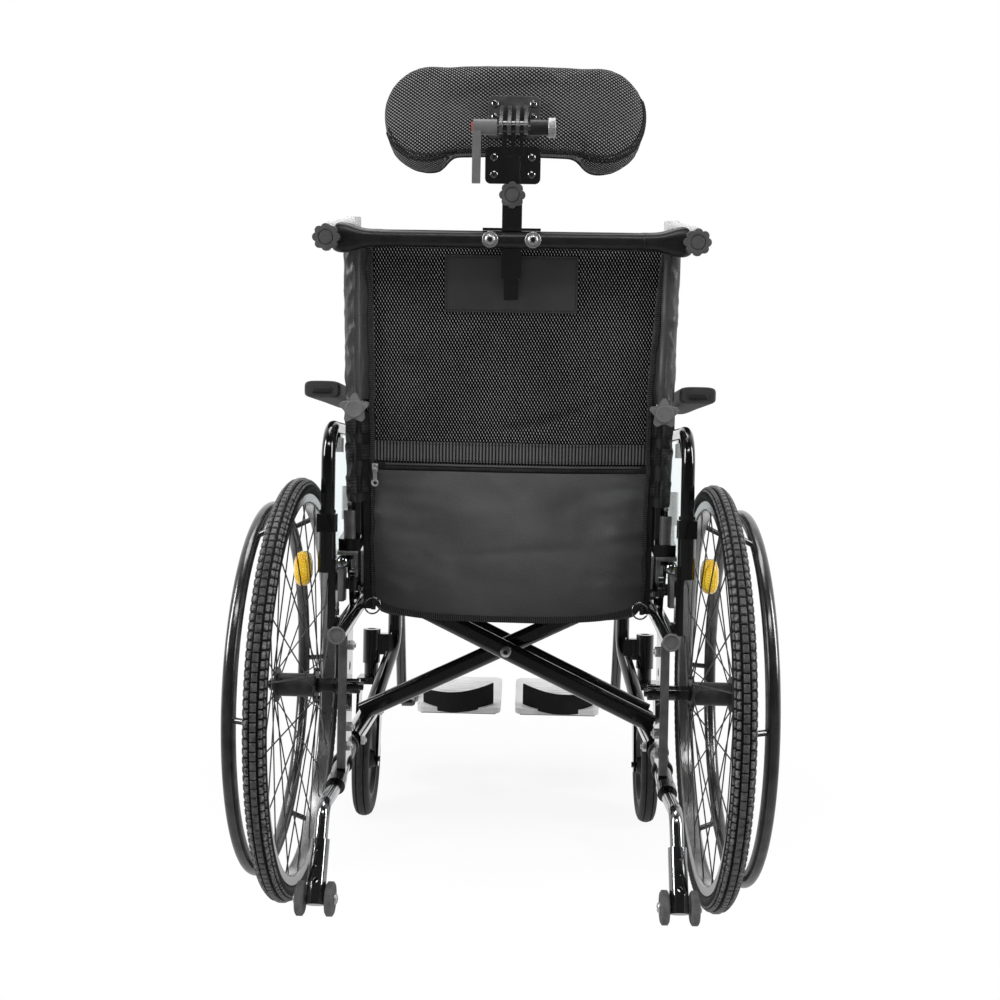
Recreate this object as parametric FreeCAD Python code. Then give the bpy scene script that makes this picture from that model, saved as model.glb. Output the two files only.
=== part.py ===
import FreeCAD, Part
import math
import os
from FreeCAD import Vector

# Driving dimensions in millimetres: x from the middle plane, y from the rear axle, z from the floor
WHEEL_R = 305.0
WHEEL_X = 301.0
TYRE_WIDTH = 30.0
HANDRIM_R = 260.0
HANDRIM_X = 341.0
HANDRIM_TUBE_R = 9.5
SPOKE_COUNT = 36
RIM_R = 268.0
BEAD_R = 279.0

CASTOR_R = 100.0
CASTOR_X = 252.0
CASTOR_Y = 413.0
CASTOR_STEM_Y = 460.0
CASTOR_HALF_WIDTH = 14.5

FRAME_X = 237.0
FRAME_TUBE_R = 12.5
FRAME_WALL = 2.0
FRAME_BEND = 60.0
RAIL_Z = 204.0
RAIL_DROP_Y = 87.0
RAIL_REAR = (-45.0, 171.0)
SEAT_TUBE_X = 236.0
SEAT_TUBE_REAR = (-66.0, 388.0)
SEAT_TUBE_MIDDLE = (260.0, 419.0)
FRONT_POST = (212.0, 482.0, 440.0)
FRONT_POST_FOOT_Z = 300.0

BRACE_PIVOT_Z = 334.0
BRACE_SLOPE = 0.479
BRACE_END_X = 207.0
BRACE_PAIR_Y = (195.0, 295.0)
BRACE_SINGLE_Y = 245.0
SLEEVE_Y = (101.0, 322.0)
SEAT_RAIL_REAR = (218.0, 165.0, 427.0)
SEAT_RAIL_FRONT = (206.0, 450.0, 462.0)
SEAT_RAIL_R = 11.0

RECLINE_Y = 124.4
RECLINE_Z = 445.0
BACK_LEAN = 10.24
CANE_X = 235.0
CANE_TOP = 558.0
CANE_LOWER_R = 12.5
CANE_UPPER_R = 11.0
CANE_SPLIT = 285.0
PUSH_BAR_U = 530.0
PUSH_BAR_V = -34.0
PUSH_BAR_R = 12.5

TILT_Y = -30.0
TILT_Z = 1115.0
PAD_HALF_WIDTH = 199.0
PAD_HALF_HEIGHT = 67.0
PAD_MIDDLE_Z = 1160.0
STEM_HALF = 10.5

ARM_X = 266.0
ARM_REAR_Y = 20.0
ARM_FRONT_Y = 405.0
ARM_TUBE_Z = 687.0
ARM_TUBE_R = 10.0
ARM_PAD = (257.0, 60.0, 731.0, 54.0, 330.0, 26.0)

ANTITIP_Z = 170.0
ANTITIP_R = 9.5
ANTITIP_CORNER_Y = -151.3
ANTITIP_FOOT = (-205.0, 62.0)

HANGER_X = 213.0
HANGER_PIVOT_Y = 516.0
FOOT_HINGE = (192.0, 650.0, 160.0)
FOOT_PITCH = 13.1
FOOT_HEEL = -35.0
FOOT_TOE = 120.0
FOOT_INNER_X = 14.5

BRAKE_PIVOT = (308.0, 430.0)

RUN = 0.05
CLEAR = 0.5

X_AXIS = Vector(1, 0, 0)
Y_AXIS = Vector(0, 1, 0)
Z_AXIS = Vector(0, 0, 1)
ORIGIN = Vector(0, 0, 0)


# Shape helpers
def cylinder(start, end, radius):
    """A round bar between two points."""
    a = Vector(*start)
    run = Vector(*end) - a
    return Part.makeCylinder(radius, run.Length, a, run)


def box(low, high):
    """A block between its low and high corners."""
    size = [h - l for l, h in zip(low, high)]
    return Part.makeBox(*size, Vector(*low))


def fuse(*shapes):
    """One solid from shapes that overlap."""
    return shapes[0].multiFuse(list(shapes[1:])).removeSplitter()


def bent_path(points, bend):
    """Straight runs joined by tangent arcs."""
    corners = [Vector(*p) for p in points]
    edges = []
    start = corners[0]
    for before, corner, after in zip(corners, corners[1:], corners[2:]):
        back = (before - corner).normalize()
        ahead = (after - corner).normalize()
        half = back.getAngle(ahead) / 2
        inset = bend / math.tan(half)
        middle = (back + ahead).normalize()
        centre = corner + middle * (bend / math.sin(half))
        first = corner + back * inset
        last = corner + ahead * inset
        edges.append(Part.LineSegment(start, first).toShape())
        edges.append(Part.Arc(first, centre - middle * bend, last).toShape())
        start = last
    edges.append(Part.LineSegment(start, corners[-1]).toShape())
    return Part.Wire(edges)


def rod(points, radius, bend=40.0):
    """A bent round bar."""
    start = Vector(*points[0])
    circle = Part.Wire([Part.makeCircle(radius, start, Vector(*points[1]) - start)])
    return bent_path(points, bend).makePipeShell([circle], True, False)


def tube(points, radius, wall, bend=40.0):
    """A bent hollow tube."""
    return rod(points, radius, bend).cut(rod(points, radius - wall, bend))


def plate_yz(outline, low_x, high_x):
    """A flat plate cut to an outline in the side view."""
    points = [Vector(low_x, y, z) for y, z in outline]
    face = Part.Face(Part.makePolygon(points + points[:1]))
    return face.extrude(Vector(high_x - low_x, 0, 0))


def turned(outline, x, y, z):
    """A ring turned about an axle along X, from (along, radius) points."""
    points = [Vector(x + along, y, z + radius) for along, radius in outline]
    face = Part.Face(Part.makePolygon(points + points[:1]))
    return face.revolve(Vector(x, y, z), X_AXIS, 360)


def mirrored(shape):
    """The left-hand twin of a right-hand shape."""
    return shape.mirror(ORIGIN, X_AXIS)


def lobed(radius, lobe_r, count, thickness):
    """A hand knob of round lobes on Z, with a ring groove in its face."""
    body = Part.makeCylinder(radius - lobe_r * 0.6, thickness)
    ring = radius - lobe_r
    lobes = []
    for i in range(count):
        turn = 2 * math.pi * i / count
        place = Vector(ring * math.sin(turn), ring * math.cos(turn), 0)
        lobes.append(Part.makeCylinder(lobe_r, thickness, place))
    level = Vector(0, 0, thickness - 1)
    groove = Part.makeCylinder(radius * 0.58, 2, level).cut(Part.makeCylinder(radius * 0.48, 2, level))
    return fuse(body, *lobes).cut(groove)


def upright_edges(shape, reach, inside):
    """Edges along Z that lie inside or outside a reach from the axis."""
    found = []
    for edge in shape.Edges:
        middle = edge.valueAt((edge.FirstParameter + edge.LastParameter) / 2)
        along_z = abs(edge.tangentAt(edge.FirstParameter).z) > 0.9
        if along_z and (math.hypot(middle.x, middle.y) < reach) == inside:
            found.append(edge)
    return found


def star(outer, inner, count, thickness):
    """A hand knob on Z with rounded points and hollows."""
    points = []
    for i in range(2 * count):
        reach = inner if i % 2 else outer
        turn = math.pi * i / count
        points.append(Vector(reach * math.sin(turn), reach * math.cos(turn), 0))
    solid = Part.Face(Part.makePolygon(points + points[:1])).extrude(Vector(0, 0, thickness))
    middle = (outer + inner) / 2
    solid = solid.makeFillet(4.2, upright_edges(solid, middle, False))
    return solid.makeFillet(6.0, upright_edges(solid, inner + 0.5, True))


def rounded_plate(half, low, high, thickness, corner):
    """A plate in the XZ plane with rounded corners, its front on y = 0 and its bulk behind it."""
    plate = box((-half, -thickness, low), (half, 0, high))
    corners = [e for e in plate.Edges if abs(e.tangentAt(e.FirstParameter).y) > 0.9]
    return plate.makeFillet(corner, corners)


def rearwards(shape, x, v, u):
    """Turns a knob on Z to point back from the cane, in the back's own frame."""
    turned_shape = shape.copy()
    turned_shape.rotate(ORIGIN, X_AXIS, 90)
    turned_shape.translate(Vector(x, v, u))
    return turned_shape


def leaned(shape):
    """Moves a shape from the back's own frame (v forward, u up the cane) into the chair."""
    placed = shape.copy()
    placed.rotate(ORIGIN, X_AXIS, BACK_LEAN)
    placed.translate(Vector(0, RECLINE_Y, RECLINE_Z))
    return placed


def arc_panel(half, rear, sag, thick, level, frame):
    """A closed section whose front and rear are arcs: half width, rear face, sag and thickness."""
    spots = ((-half, rear), (0, rear - sag), (half, rear))
    front = ((half, rear + thick), (0, rear + thick - sag), (-half, rear + thick))
    a, b, c = (frame(x, v, level) for x, v in spots)
    d, e, f = (frame(x, v, level) for x, v in front)
    edges = [
        Part.Arc(a, b, c).toShape(),
        Part.LineSegment(c, d).toShape(),
        Part.Arc(d, e, f).toShape(),
        Part.LineSegment(f, a).toShape(),
    ]
    return Part.Wire(edges)


# Rear wheels
def wheel_tyre():
    half = TYRE_WIDTH / 2
    bead, shoulder = 9.0, WHEEL_R - 13
    at = lambda along, radius: Vector(WHEEL_X + along, 0, WHEEL_R + radius)
    crown = Part.Arc(at(half, shoulder), at(0, WHEEL_R), at(-half, shoulder)).toShape()
    corners = [(-half, shoulder), (-bead, BEAD_R + 3.5), (-bead, BEAD_R), (bead, BEAD_R)]
    corners += [(bead, BEAD_R + 3.5), (half, shoulder)]
    sides = Part.makePolygon([at(*c) for c in corners])
    face = Part.Face(Part.Wire([crown] + sides.Edges))
    return face.revolve(Vector(WHEEL_X, 0, WHEEL_R), X_AXIS, 360)


def wheel_rim():
    lip = BEAD_R + 2.5
    right = [(9, RIM_R), (11, RIM_R + 2), (11.5, lip), (9.3, lip), (9.3, BEAD_R)]
    left = [(-along, radius) for along, radius in reversed(right)]
    return turned(right + left, WHEEL_X, 0, WHEEL_R)


def wheel_hub():
    inner, outer = -27.0, 33.0
    outline = [(inner, 6 + RUN), (outer, 6 + RUN), (outer, 26), (outer - 3, 26), (outer - 4, 17)]
    outline += [(inner + 4, 17), (inner + 3, 26), (inner, 26)]
    return turned(outline, WHEEL_X, 0, WHEEL_R)


def wheel_spokes():
    spokes = []
    for i in range(SPOKE_COUNT):
        outer = i % 2
        lean = math.radians(38 if i % 4 < 2 else -38)
        turn = 2 * math.pi * i / SPOKE_COUNT
        x = WHEEL_X + (34.2 if outer else -28.2)
        start = (x, 23 * math.sin(turn + lean), WHEEL_R + 23 * math.cos(turn + lean))
        reach = RIM_R - 0.3
        offset = 2.5 if outer else -2.5
        end = (WHEEL_X + offset, reach * math.sin(turn), WHEEL_R + reach * math.cos(turn))
        spokes.append(cylinder(start, end, 1.0))
    return Part.makeCompound(spokes)


def wheel_handrim():
    hoop = Part.makeTorus(HANDRIM_R, HANDRIM_TUBE_R, Vector(HANDRIM_X, 0, WHEEL_R), X_AXIS)
    tabs = []
    for i in range(6):
        turn = 2 * math.pi * (i + 0.5) / 6
        side = lambda x, r: (x, r * math.sin(turn), WHEEL_R + r * math.cos(turn))
        tabs.append(cylinder(side(WHEEL_X + 11.6, RIM_R + 6), side(HANDRIM_X - 4, HANDRIM_R), 4.0))
    return fuse(hoop, *tabs)


# Castors
def castor_fork():
    legs = []
    side = [(CASTOR_STEM_Y + 14, 240), (CASTOR_STEM_Y + 14, 225), (CASTOR_Y + 13, 92)]
    side += [(CASTOR_Y, 86), (CASTOR_Y - 13, 92), (CASTOR_STEM_Y - 32, 225), (CASTOR_STEM_Y - 32, 240)]
    for low in (-22.0, 17.0):
        legs.append(plate_yz(side, CASTOR_X + low, CASTOR_X + low + 5))
    crown = box((CASTOR_X - 22, CASTOR_STEM_Y - 32, 232), (CASTOR_X + 22, CASTOR_STEM_Y + 14, 244))
    stem = cylinder((CASTOR_X, CASTOR_STEM_Y, 240), (CASTOR_X, CASTOR_STEM_Y, 328), 8 - RUN)
    collar = cylinder((CASTOR_X, CASTOR_STEM_Y, 244), (CASTOR_X, CASTOR_STEM_Y, 267.5), 13)
    axle = cylinder((CASTOR_X - 25, CASTOR_Y, CASTOR_R), (CASTOR_X + 25, CASTOR_Y, CASTOR_R), 5)
    return fuse(crown, stem, collar, axle, *legs)


def castor_tyre():
    w = CASTOR_HALF_WIDTH
    right = [(12, 72), (w, 80), (w, 90), (12, 95.5), (7.5, 98.6), (6.5, 96), (5, 99.4), (1, CASTOR_R)]
    left = [(-along, radius) for along, radius in reversed(right)]
    return turned(right + left, CASTOR_X, CASTOR_Y, CASTOR_R)


def castor_hub():
    bore = 5 + RUN
    right = [(15, bore), (15, 14), (4, 18), (4, 58), (11.5, 62), (11.5, 72)]
    left = [(-along, radius) for along, radius in reversed(right)]
    return turned(right + left, CASTOR_X, CASTOR_Y, CASTOR_R)


# Side frame
def seat_tube_at(y):
    """Height of the seat tube's axis on its rear stretch."""
    rise = (SEAT_TUBE_MIDDLE[1] - SEAT_TUBE_REAR[1]) / (SEAT_TUBE_MIDDLE[0] - SEAT_TUBE_REAR[0])
    return SEAT_TUBE_REAR[1] + (y - SEAT_TUBE_REAR[0]) * rise


def frame_loop():
    return tube(
        [
            (SEAT_TUBE_X, *SEAT_TUBE_REAR),
            (SEAT_TUBE_X, *SEAT_TUBE_MIDDLE),
            FRONT_POST,
            (FRONT_POST[0], FRONT_POST[1], FRONT_POST_FOOT_Z),
            (FRAME_X, 350, RAIL_Z),
            (FRAME_X, RAIL_DROP_Y, RAIL_Z),
            (FRAME_X, *RAIL_REAR),
        ],
        FRAME_TUBE_R,
        FRAME_WALL,
        FRAME_BEND,
    )


def rail_end(past):
    """A point on the lower rail's rear stretch, so far past its end."""
    end = Vector(FRAME_X, *RAIL_REAR)
    heading = (end - Vector(FRAME_X, RAIL_DROP_Y, RAIL_Z)).normalize()
    return end + heading * past


def antitip_collar():
    """Ring in the rail's rear end that holds the anti-tip tube."""
    ring = cylinder(rail_end(-14), rail_end(6), FRAME_TUBE_R + 1.5)
    return ring.cut(cylinder(rail_end(-20), rail_end(12), ANTITIP_R))


def rail_rings():
    """Stops at both ends of the brace sleeve."""
    rings = []
    for y in (SLEEVE_Y[0] - 8.5, SLEEVE_Y[1] + CLEAR):
        ring = cylinder((FRAME_X, y, RAIL_Z), (FRAME_X, y + 8, RAIL_Z), 17)
        rings.append(ring.cut(cylinder((FRAME_X, y - 1, RAIL_Z), (FRAME_X, y + 9, RAIL_Z), FRAME_TUBE_R - 1)))
    return rings


def axle_plate():
    """Vertical bar with a column of axle holes, the axle, its spacer and nuts."""
    plate = box((226, -28, 183), (239, 28, 392))
    for z in (245, 275, 335, 365):
        plate = plate.cut(cylinder((220, 0, z), (245, 0, z), 6.5))
    for y in (-16, 16):
        plate = plate.cut(cylinder((220, y, 220), (245, y, 220), 4))
    axle = cylinder((206, 0, WHEEL_R), (WHEEL_X + 44, 0, WHEEL_R), 6)
    spacer = cylinder((239, 0, WHEEL_R), (WHEEL_X - 27.6, 0, WHEEL_R), 11)
    nut = cylinder((211, 0, WHEEL_R), (226, 0, WHEEL_R), 11)
    washer = cylinder((WHEEL_X + 33.5, 0, WHEEL_R), (WHEEL_X + 42, 0, WHEEL_R), 9)
    return [plate, axle, spacer, nut, washer]


def castor_barrel():
    low, high = 268.0, 330.0
    barrel = cylinder((CASTOR_X, CASTOR_STEM_Y, low), (CASTOR_X, CASTOR_STEM_Y, high), 16)
    web = box((FRONT_POST[0], CASTOR_STEM_Y - 10, 284), (CASTOR_X, CASTOR_STEM_Y + 10, 322))
    bore = cylinder((CASTOR_X, CASTOR_STEM_Y, low - 1), (CASTOR_X, CASTOR_STEM_Y, high + 1), 8)
    return barrel, web, bore


def arm_socket(y, low, high, tube_x, tube_z):
    """A socket for one arm post, with the bracket that joins it to the seat tube."""
    socket = cylinder((ARM_X, y, low), (ARM_X, y, high), 13)
    collar = box((ARM_X - 13.5, y - 13.5, high - 27), (ARM_X + 13.5, y + 13.5, high))
    foot = box((tube_x, y - 10, tube_z - 9), (262, y + 10, tube_z + 9))
    upright = box((250.5, y - 10, tube_z - 9), (262, y + 10, low + 20))
    bore = cylinder((ARM_X, y, low - 1), (ARM_X, y, high + 1), ARM_TUBE_R + 2 * RUN)
    return [socket, collar, foot, upright], bore


def recline_sector():
    """Notched plate round the recline pivot, standing on the seat tube."""
    low, high = 232.0, 240.0
    middle = Vector(low, RECLINE_Y, RECLINE_Z)
    disc = Part.makeCylinder(18, high - low, middle, X_AXIS)
    quadrant = Part.makeCylinder(50, high - low, middle, X_AXIS, 120)
    quadrant.rotate(middle, X_AXIS, 60)
    stem = box((low, RECLINE_Y - 16, seat_tube_at(RECLINE_Y)), (high, RECLINE_Y + 16, RECLINE_Z))
    notches = []
    for i in range(7):
        turn = math.radians(BACK_LEAN + 5 + 11 * i)
        y = RECLINE_Y - 50 * math.sin(turn)
        z = RECLINE_Z + 50 * math.cos(turn)
        notches.append(cylinder((low - 1, y, z), (high + 1, y, z), 3))
    pin = cylinder((low - 1, RECLINE_Y, RECLINE_Z), (high + 1, RECLINE_Y, RECLINE_Z), 6 + RUN)
    return fuse(disc, quadrant, stem).cut(Part.makeCompound(notches)), pin


def hanger_lugs():
    """Two lugs on the front post with the rod that the legrest turns on."""
    x, y = HANGER_X, HANGER_PIVOT_Y
    lugs = [box((x - 7, FRONT_POST[1], z), (x + 7, y + 9, z + 8)) for z in (318.0, 409.0)]
    return lugs + [cylinder((x, y, 318), (x, y, 417), 6)]


def brake_mount():
    y, z = BRAKE_PIVOT
    arm = box((232, y - 8, z - 12), (278, y + 8, z + 8))
    pin = cylinder((270, y, z), (285, y, z), 5)
    return [arm, pin]


def seat_rail_axis():
    return Vector(*SEAT_RAIL_REAR), Vector(*SEAT_RAIL_FRONT)


def saddle(y, tube_x, tube_z):
    """A block on the seat tube that the brace's seat rail rests in."""
    rear, front = seat_rail_axis()
    part = (y - rear.y) / (front.y - rear.y)
    middle = rear + (front - rear) * part
    block = box((middle.x - 8, y - 12, tube_z - 4), (tube_x + 2, y + 12, middle.z))
    heading = (front - rear).normalize()
    groove = Part.makeCylinder(SEAT_RAIL_R + 0.4, 60, middle - heading * 30, heading)
    lift = box((middle.x - 30, y - 30, middle.z - 3), (middle.x + 13, y + 30, middle.z + 30))
    return block.cut(groove).cut(lift)


def side_frame():
    rear, rear_bore = arm_socket(ARM_REAR_Y, 470, 557, SEAT_TUBE_X + 4, seat_tube_at(ARM_REAR_Y))
    front, front_bore = arm_socket(ARM_FRONT_Y, 440, 500, 222, 433)
    barrel, web, bore = castor_barrel()
    sector, pin = recline_sector()
    pieces = [frame_loop(), barrel, web, sector, saddle(217, 236, 414.5), saddle(395, 222, 432)]
    pieces += rail_rings() + [antitip_collar()] + axle_plate() + rear + front + hanger_lugs() + brake_mount()
    return fuse(*pieces).cut(Part.makeCompound([rear_bore, front_bore, bore, pin]))


# Cross-brace: a bar from low on the right to high on the left, with its seat rail
def brace_bar(y):
    """A flat-oval bar through the pivot."""
    tall, wide = 15.0, 9.0
    corner = tall - wide
    at = lambda dy, dz: Vector(0, y + dy, dz)
    edges = [
        Part.LineSegment(at(wide, -corner), at(wide, corner)).toShape(),
        Part.Arc(at(wide, corner), at(0, tall), at(-wide, corner)).toShape(),
        Part.LineSegment(at(-wide, corner), at(-wide, -corner)).toShape(),
        Part.Arc(at(-wide, -corner), at(0, -tall), at(wide, -corner)).toShape(),
    ]
    angle = math.atan(BRACE_SLOPE)
    start = -BRACE_END_X / math.cos(angle)
    end = (FRAME_X + 3) / math.cos(angle)
    bar = Part.Face(Part.Wire(edges)).extrude(Vector(end - start, 0, 0))
    bar.translate(Vector(start, 0, 0))
    bar.rotate(ORIGIN, Y_AXIS, math.degrees(angle))
    bar.translate(Vector(0, 0, BRACE_PIVOT_Z))
    return bar


def brace(bar_places):
    """Bars, the sleeve on the right rail and the seat rail on the left."""
    low, high = SLEEVE_Y
    sleeve = cylinder((FRAME_X, low, RAIL_Z), (FRAME_X, high, RAIL_Z), 16)
    bore = cylinder((FRAME_X, low - 9, RAIL_Z), (FRAME_X, high + 9, RAIL_Z), FRAME_TUBE_R + 0.1)
    rear, front = seat_rail_axis()
    rail = cylinder((-rear.x, rear.y, rear.z), (-front.x, front.y, front.z), SEAT_RAIL_R)
    hollow = cylinder((-rear.x, rear.y, rear.z), (-front.x, front.y, front.z), SEAT_RAIL_R - FRAME_WALL)
    solid = fuse(sleeve, rail, *[brace_bar(y) for y in bar_places])
    return solid.cut(bore).cut(hollow)


def cross_brace_pair():
    """The double bar, with the pivot bolt and its spacers."""
    first, last = BRACE_PAIR_Y
    at = lambda y: (0, y, BRACE_PIVOT_Z)
    bolt = cylinder(at(first - 14), at(last + 14), 5)
    heads = [cylinder(at(first - 17), at(first - 9), 9), cylinder(at(last + 9), at(last + 17), 9)]
    spacers = [
        cylinder(at(first), at(BRACE_SINGLE_Y - 9 - CLEAR), 9),
        cylinder(at(BRACE_SINGLE_Y + 9 + CLEAR), at(last), 9),
    ]
    return fuse(brace(BRACE_PAIR_Y), bolt, *heads, *spacers)


def cross_brace_single():
    """The single bar, mirrored so that it rises to the right."""
    bore = cylinder((0, 200, BRACE_PIVOT_Z), (0, 290, BRACE_PIVOT_Z), 5 + RUN)
    return mirrored(brace([BRACE_SINGLE_Y])).cut(bore)


def seat_sling():
    """Cloth between the seat rails that sags in the middle."""
    rear, front = seat_rail_axis()
    half, lift, sag, thick = 192.0, 14.0, 16.0, 5.0
    sections = []
    for part in (0.06, 0.5, 0.99):
        middle = rear + (front - rear) * part
        frame = lambda x, height, y: Vector(x, y, height)
        sections.append(arc_panel(half, middle.z + lift, sag, thick, middle.y, frame))
    return Part.makeLoft(sections, True)


# Anti-tip tubes and legs
def antitip_heading():
    foot_y, foot_z = ANTITIP_FOOT
    return Vector(0, foot_y - ANTITIP_CORNER_Y, foot_z - ANTITIP_Z).normalize()


def antitip_tube():
    corner = Vector(FRAME_X, ANTITIP_CORNER_Y, ANTITIP_Z)
    end = corner + antitip_heading() * 95
    inside = rail_end(-15)
    bend = rail_end(12)
    return tube([tuple(inside), tuple(bend), tuple(corner), tuple(end)], ANTITIP_R, 1.5, 25)


def antitip_leg():
    corner = Vector(FRAME_X, ANTITIP_CORNER_Y, ANTITIP_Z)
    heading = antitip_heading()
    top = corner + heading * 45
    foot_y, foot_z = ANTITIP_FOOT
    foot = Vector(FRAME_X, foot_y, foot_z)
    length = (foot - top).Length + 8
    sleeve = Part.makeCylinder(12.5, length, top, heading)
    sleeve = sleeve.cut(Part.makeCylinder(9.6, length - 20, top, heading))
    across = heading.cross(X_AXIS)
    for step in (14.0, 34.0, 54.0):
        spot = top + heading * step
        sleeve = sleeve.cut(Part.makeCylinder(3.2, 40, spot - across * 20, across))
    bolt = cylinder((FRAME_X - 28, foot_y, foot_z), (FRAME_X + 28, foot_y, foot_z), 4)
    return fuse(sleeve, bolt)


def antitip_rollers():
    foot_y, foot_z = ANTITIP_FOOT
    outline = [(-5.5, 4 + RUN), (5.5, 4 + RUN), (5.5, 19), (3.5, 22), (-3.5, 22), (-5.5, 19)]
    return Part.makeCompound([turned(outline, FRAME_X + shift, foot_y, foot_z) for shift in (-19.5, 19.5)])


# Back: shapes in the back's own frame, v forward and u up the cane
def back_cane():
    lower = tube([(CANE_X, 0, 70), (CANE_X, 0, CANE_SPLIT)], CANE_LOWER_R, FRAME_WALL)
    upper = tube([(CANE_X, 0, CANE_SPLIT - 5), (CANE_X, 0, CANE_TOP)], CANE_UPPER_R, FRAME_WALL)
    cheeks = []
    side = [(-24, 75), (13, 75), (13, 0), (9, -10), (0, -14), (-9, -10), (-14, 0), (-24, 30)]
    for low, high in ((226, 231.5), (240.5, 246)):
        cheeks.append(plate_yz(side, low, high))
    block = box((224, -38, 62), (257, 13, 80))
    housing = cylinder((241.3, -26, 78), (241.3, -26, 124), 8.6)
    tip = cylinder((241.3, -26, 124), (241.3, -26, 131), 3)
    plunger = cylinder((240, -26, 64), (240, -26, 46), 4)
    pivot = cylinder((226, 0, 0), (246, 0, 0), 6)
    lever_pin = cylinder((243, -16, 48), (257, -16, 48), 4)
    return leaned(fuse(block, lower, upper, housing, tip, plunger, pivot, lever_pin, *cheeks))


def release_lever():
    """Paddle that lifts the plunger, on the outer cheek."""
    ring = cylinder((249, -16, 48), (257, -16, 48), 9)
    paddle = plate_yz([(-24, 50), (-10, 44), (-28, -20), (-42, -16)], 249, 257)
    bore = cylinder((240, -16, 48), (260, -16, 48), 4 + RUN)
    return leaned(fuse(ring, paddle).cut(bore))


def star_knob():
    head = star(27.3, 14.0, 5, 15)
    shank = Part.makeCylinder(6, 12, Vector(0, 0, -11.5))
    return leaned(rearwards(fuse(head, shank), CANE_X - 3.5, -CANE_LOWER_R - 12, 280))


def oval(x, v, u, deep, tall):
    """A closed oval section square to X."""
    spots = []
    for i in range(16):
        turn = 2 * math.pi * i / 16
        spots.append(Vector(x, v + deep * math.cos(turn), u + tall * math.sin(turn)))
    curve = Part.BSplineCurve()
    curve.interpolate(spots, PeriodicFlag=True)
    return Part.Wire([curve.toShape()])


def push_bar():
    """Cross bar that widens smoothly into the two clamp ends behind the canes."""
    v, u = PUSH_BAR_V, PUSH_BAR_U
    straight = 192.0
    pieces = [cylinder((-straight, v, u), (straight, v, u), PUSH_BAR_R)]
    widths = ((-8, 12.2, 12.2), (14, 12.4, 13.2), (32, 12.6, 16.5), (46, 12.6, 20.5), (60, 12.4, 21.2))
    widths += ((68, 9.5, 17.5),)
    for side in (-1, 1):
        sections = [oval(side * (straight + run), v, u, deep, tall) for run, deep, tall in widths]
        pieces.append(Part.makeLoft(sections, True))
        low, high = sorted((side * (CANE_X - 9), side * (CANE_X + 9)))
        pieces.append(box((low, v, u - 14), (high, -CANE_UPPER_R - 0.8, u + 14)))
        pieces.append(cylinder((side * (straight + 50), v, u), (side * (straight + 76), v, u), 10))
    return leaned(fuse(*pieces))


def push_bar_knob():
    head = lobed(19.5, 6.5, 8, 14)
    shank = Part.makeCylinder(7, 7, Vector(0, 0, -6))
    rear = PUSH_BAR_V - PUSH_BAR_R
    return leaned(rearwards(fuse(head, shank), 266, rear - 4, PUSH_BAR_U))


STEM_V = (PUSH_BAR_V + PUSH_BAR_R + 1.5, PUSH_BAR_V + PUSH_BAR_R + 7.5)
SLEEVE_U = (474.0, 606.0)
STEM_PLATE_U = (609.0, 661.0)


def headrest_bracket():
    """Sleeve on the push bar that the headrest stem slides in."""
    front, rear = STEM_V[1] + 2.4, STEM_V[0] - 5
    half, slot_half = STEM_HALF + 4, STEM_HALF + 0.2
    low, high = SLEEVE_U
    sleeve = box((-half, rear, low), (half, front, high))
    over = PUSH_BAR_U + PUSH_BAR_R
    saddle_plate = box((-42, PUSH_BAR_V - 6, over + 0.1), (42, front, over + 4.1))
    slot = box((-slot_half, STEM_V[0] - 0.2, low - 10), (slot_half, STEM_V[1] + 0.2, high + 10))
    bar = cylinder((-60, PUSH_BAR_V, PUSH_BAR_U), (60, PUSH_BAR_V, PUSH_BAR_U), PUSH_BAR_R + 0.05)
    return leaned(fuse(sleeve, saddle_plate).cut(slot).cut(bar))


def stem_knob():
    head = lobed(19.0, 6.3, 8, 13)
    shank = Part.makeCylinder(6, 5, Vector(0, 0, -4.5))
    return leaned(rearwards(fuse(head, shank), 0, STEM_V[0] - 10, SLEEVE_U[1] - 13))


def to_back(y, z):
    """A chair point in the back's own frame."""
    lean = math.radians(BACK_LEAN)
    dy, dz = y - RECLINE_Y, z - RECLINE_Z
    return dy * math.cos(lean) + dz * math.sin(lean), dz * math.cos(lean) - dy * math.sin(lean)


FINGER_PITCH = 12.0
FINGER_HALF = 2.75
LOWER_FINGERS = [FINGER_PITCH * i for i in (-1, 0, 1)]
UPPER_FINGERS = [FINGER_PITCH * i for i in (-1.5, -0.5, 0.5, 1.5)]


def headrest_stem():
    v, u = to_back(TILT_Y, TILT_Z)
    low, high = STEM_PLATE_U
    bar = box((-STEM_HALF, STEM_V[0], 443), (STEM_HALF, STEM_V[1], high - 3))
    plate = rounded_plate(40, low, high, 6, 8)
    plate.translate(Vector(0, STEM_V[0], 0))
    strip = box((-STEM_HALF, STEM_V[0] - 8.5, low), (STEM_HALF, STEM_V[0] - 5, high - 13))
    fingers = []
    for x in LOWER_FINGERS:
        near, far = x - FINGER_HALF, x + FINGER_HALF
        web = [(STEM_V[0] - 1, high - 1), (STEM_V[0] - 5, high - 19), (v - 6, u - 6), (v + 6, u + 6)]
        fingers.append(plate_yz(web, near, far))
        fingers.append(cylinder((near, v, u), (far, v, u), 9))
    bore = cylinder((-50, v, u), (50, v, u), 3 + RUN)
    return leaned(fuse(bar, plate, strip, *fingers).cut(bore))


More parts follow.
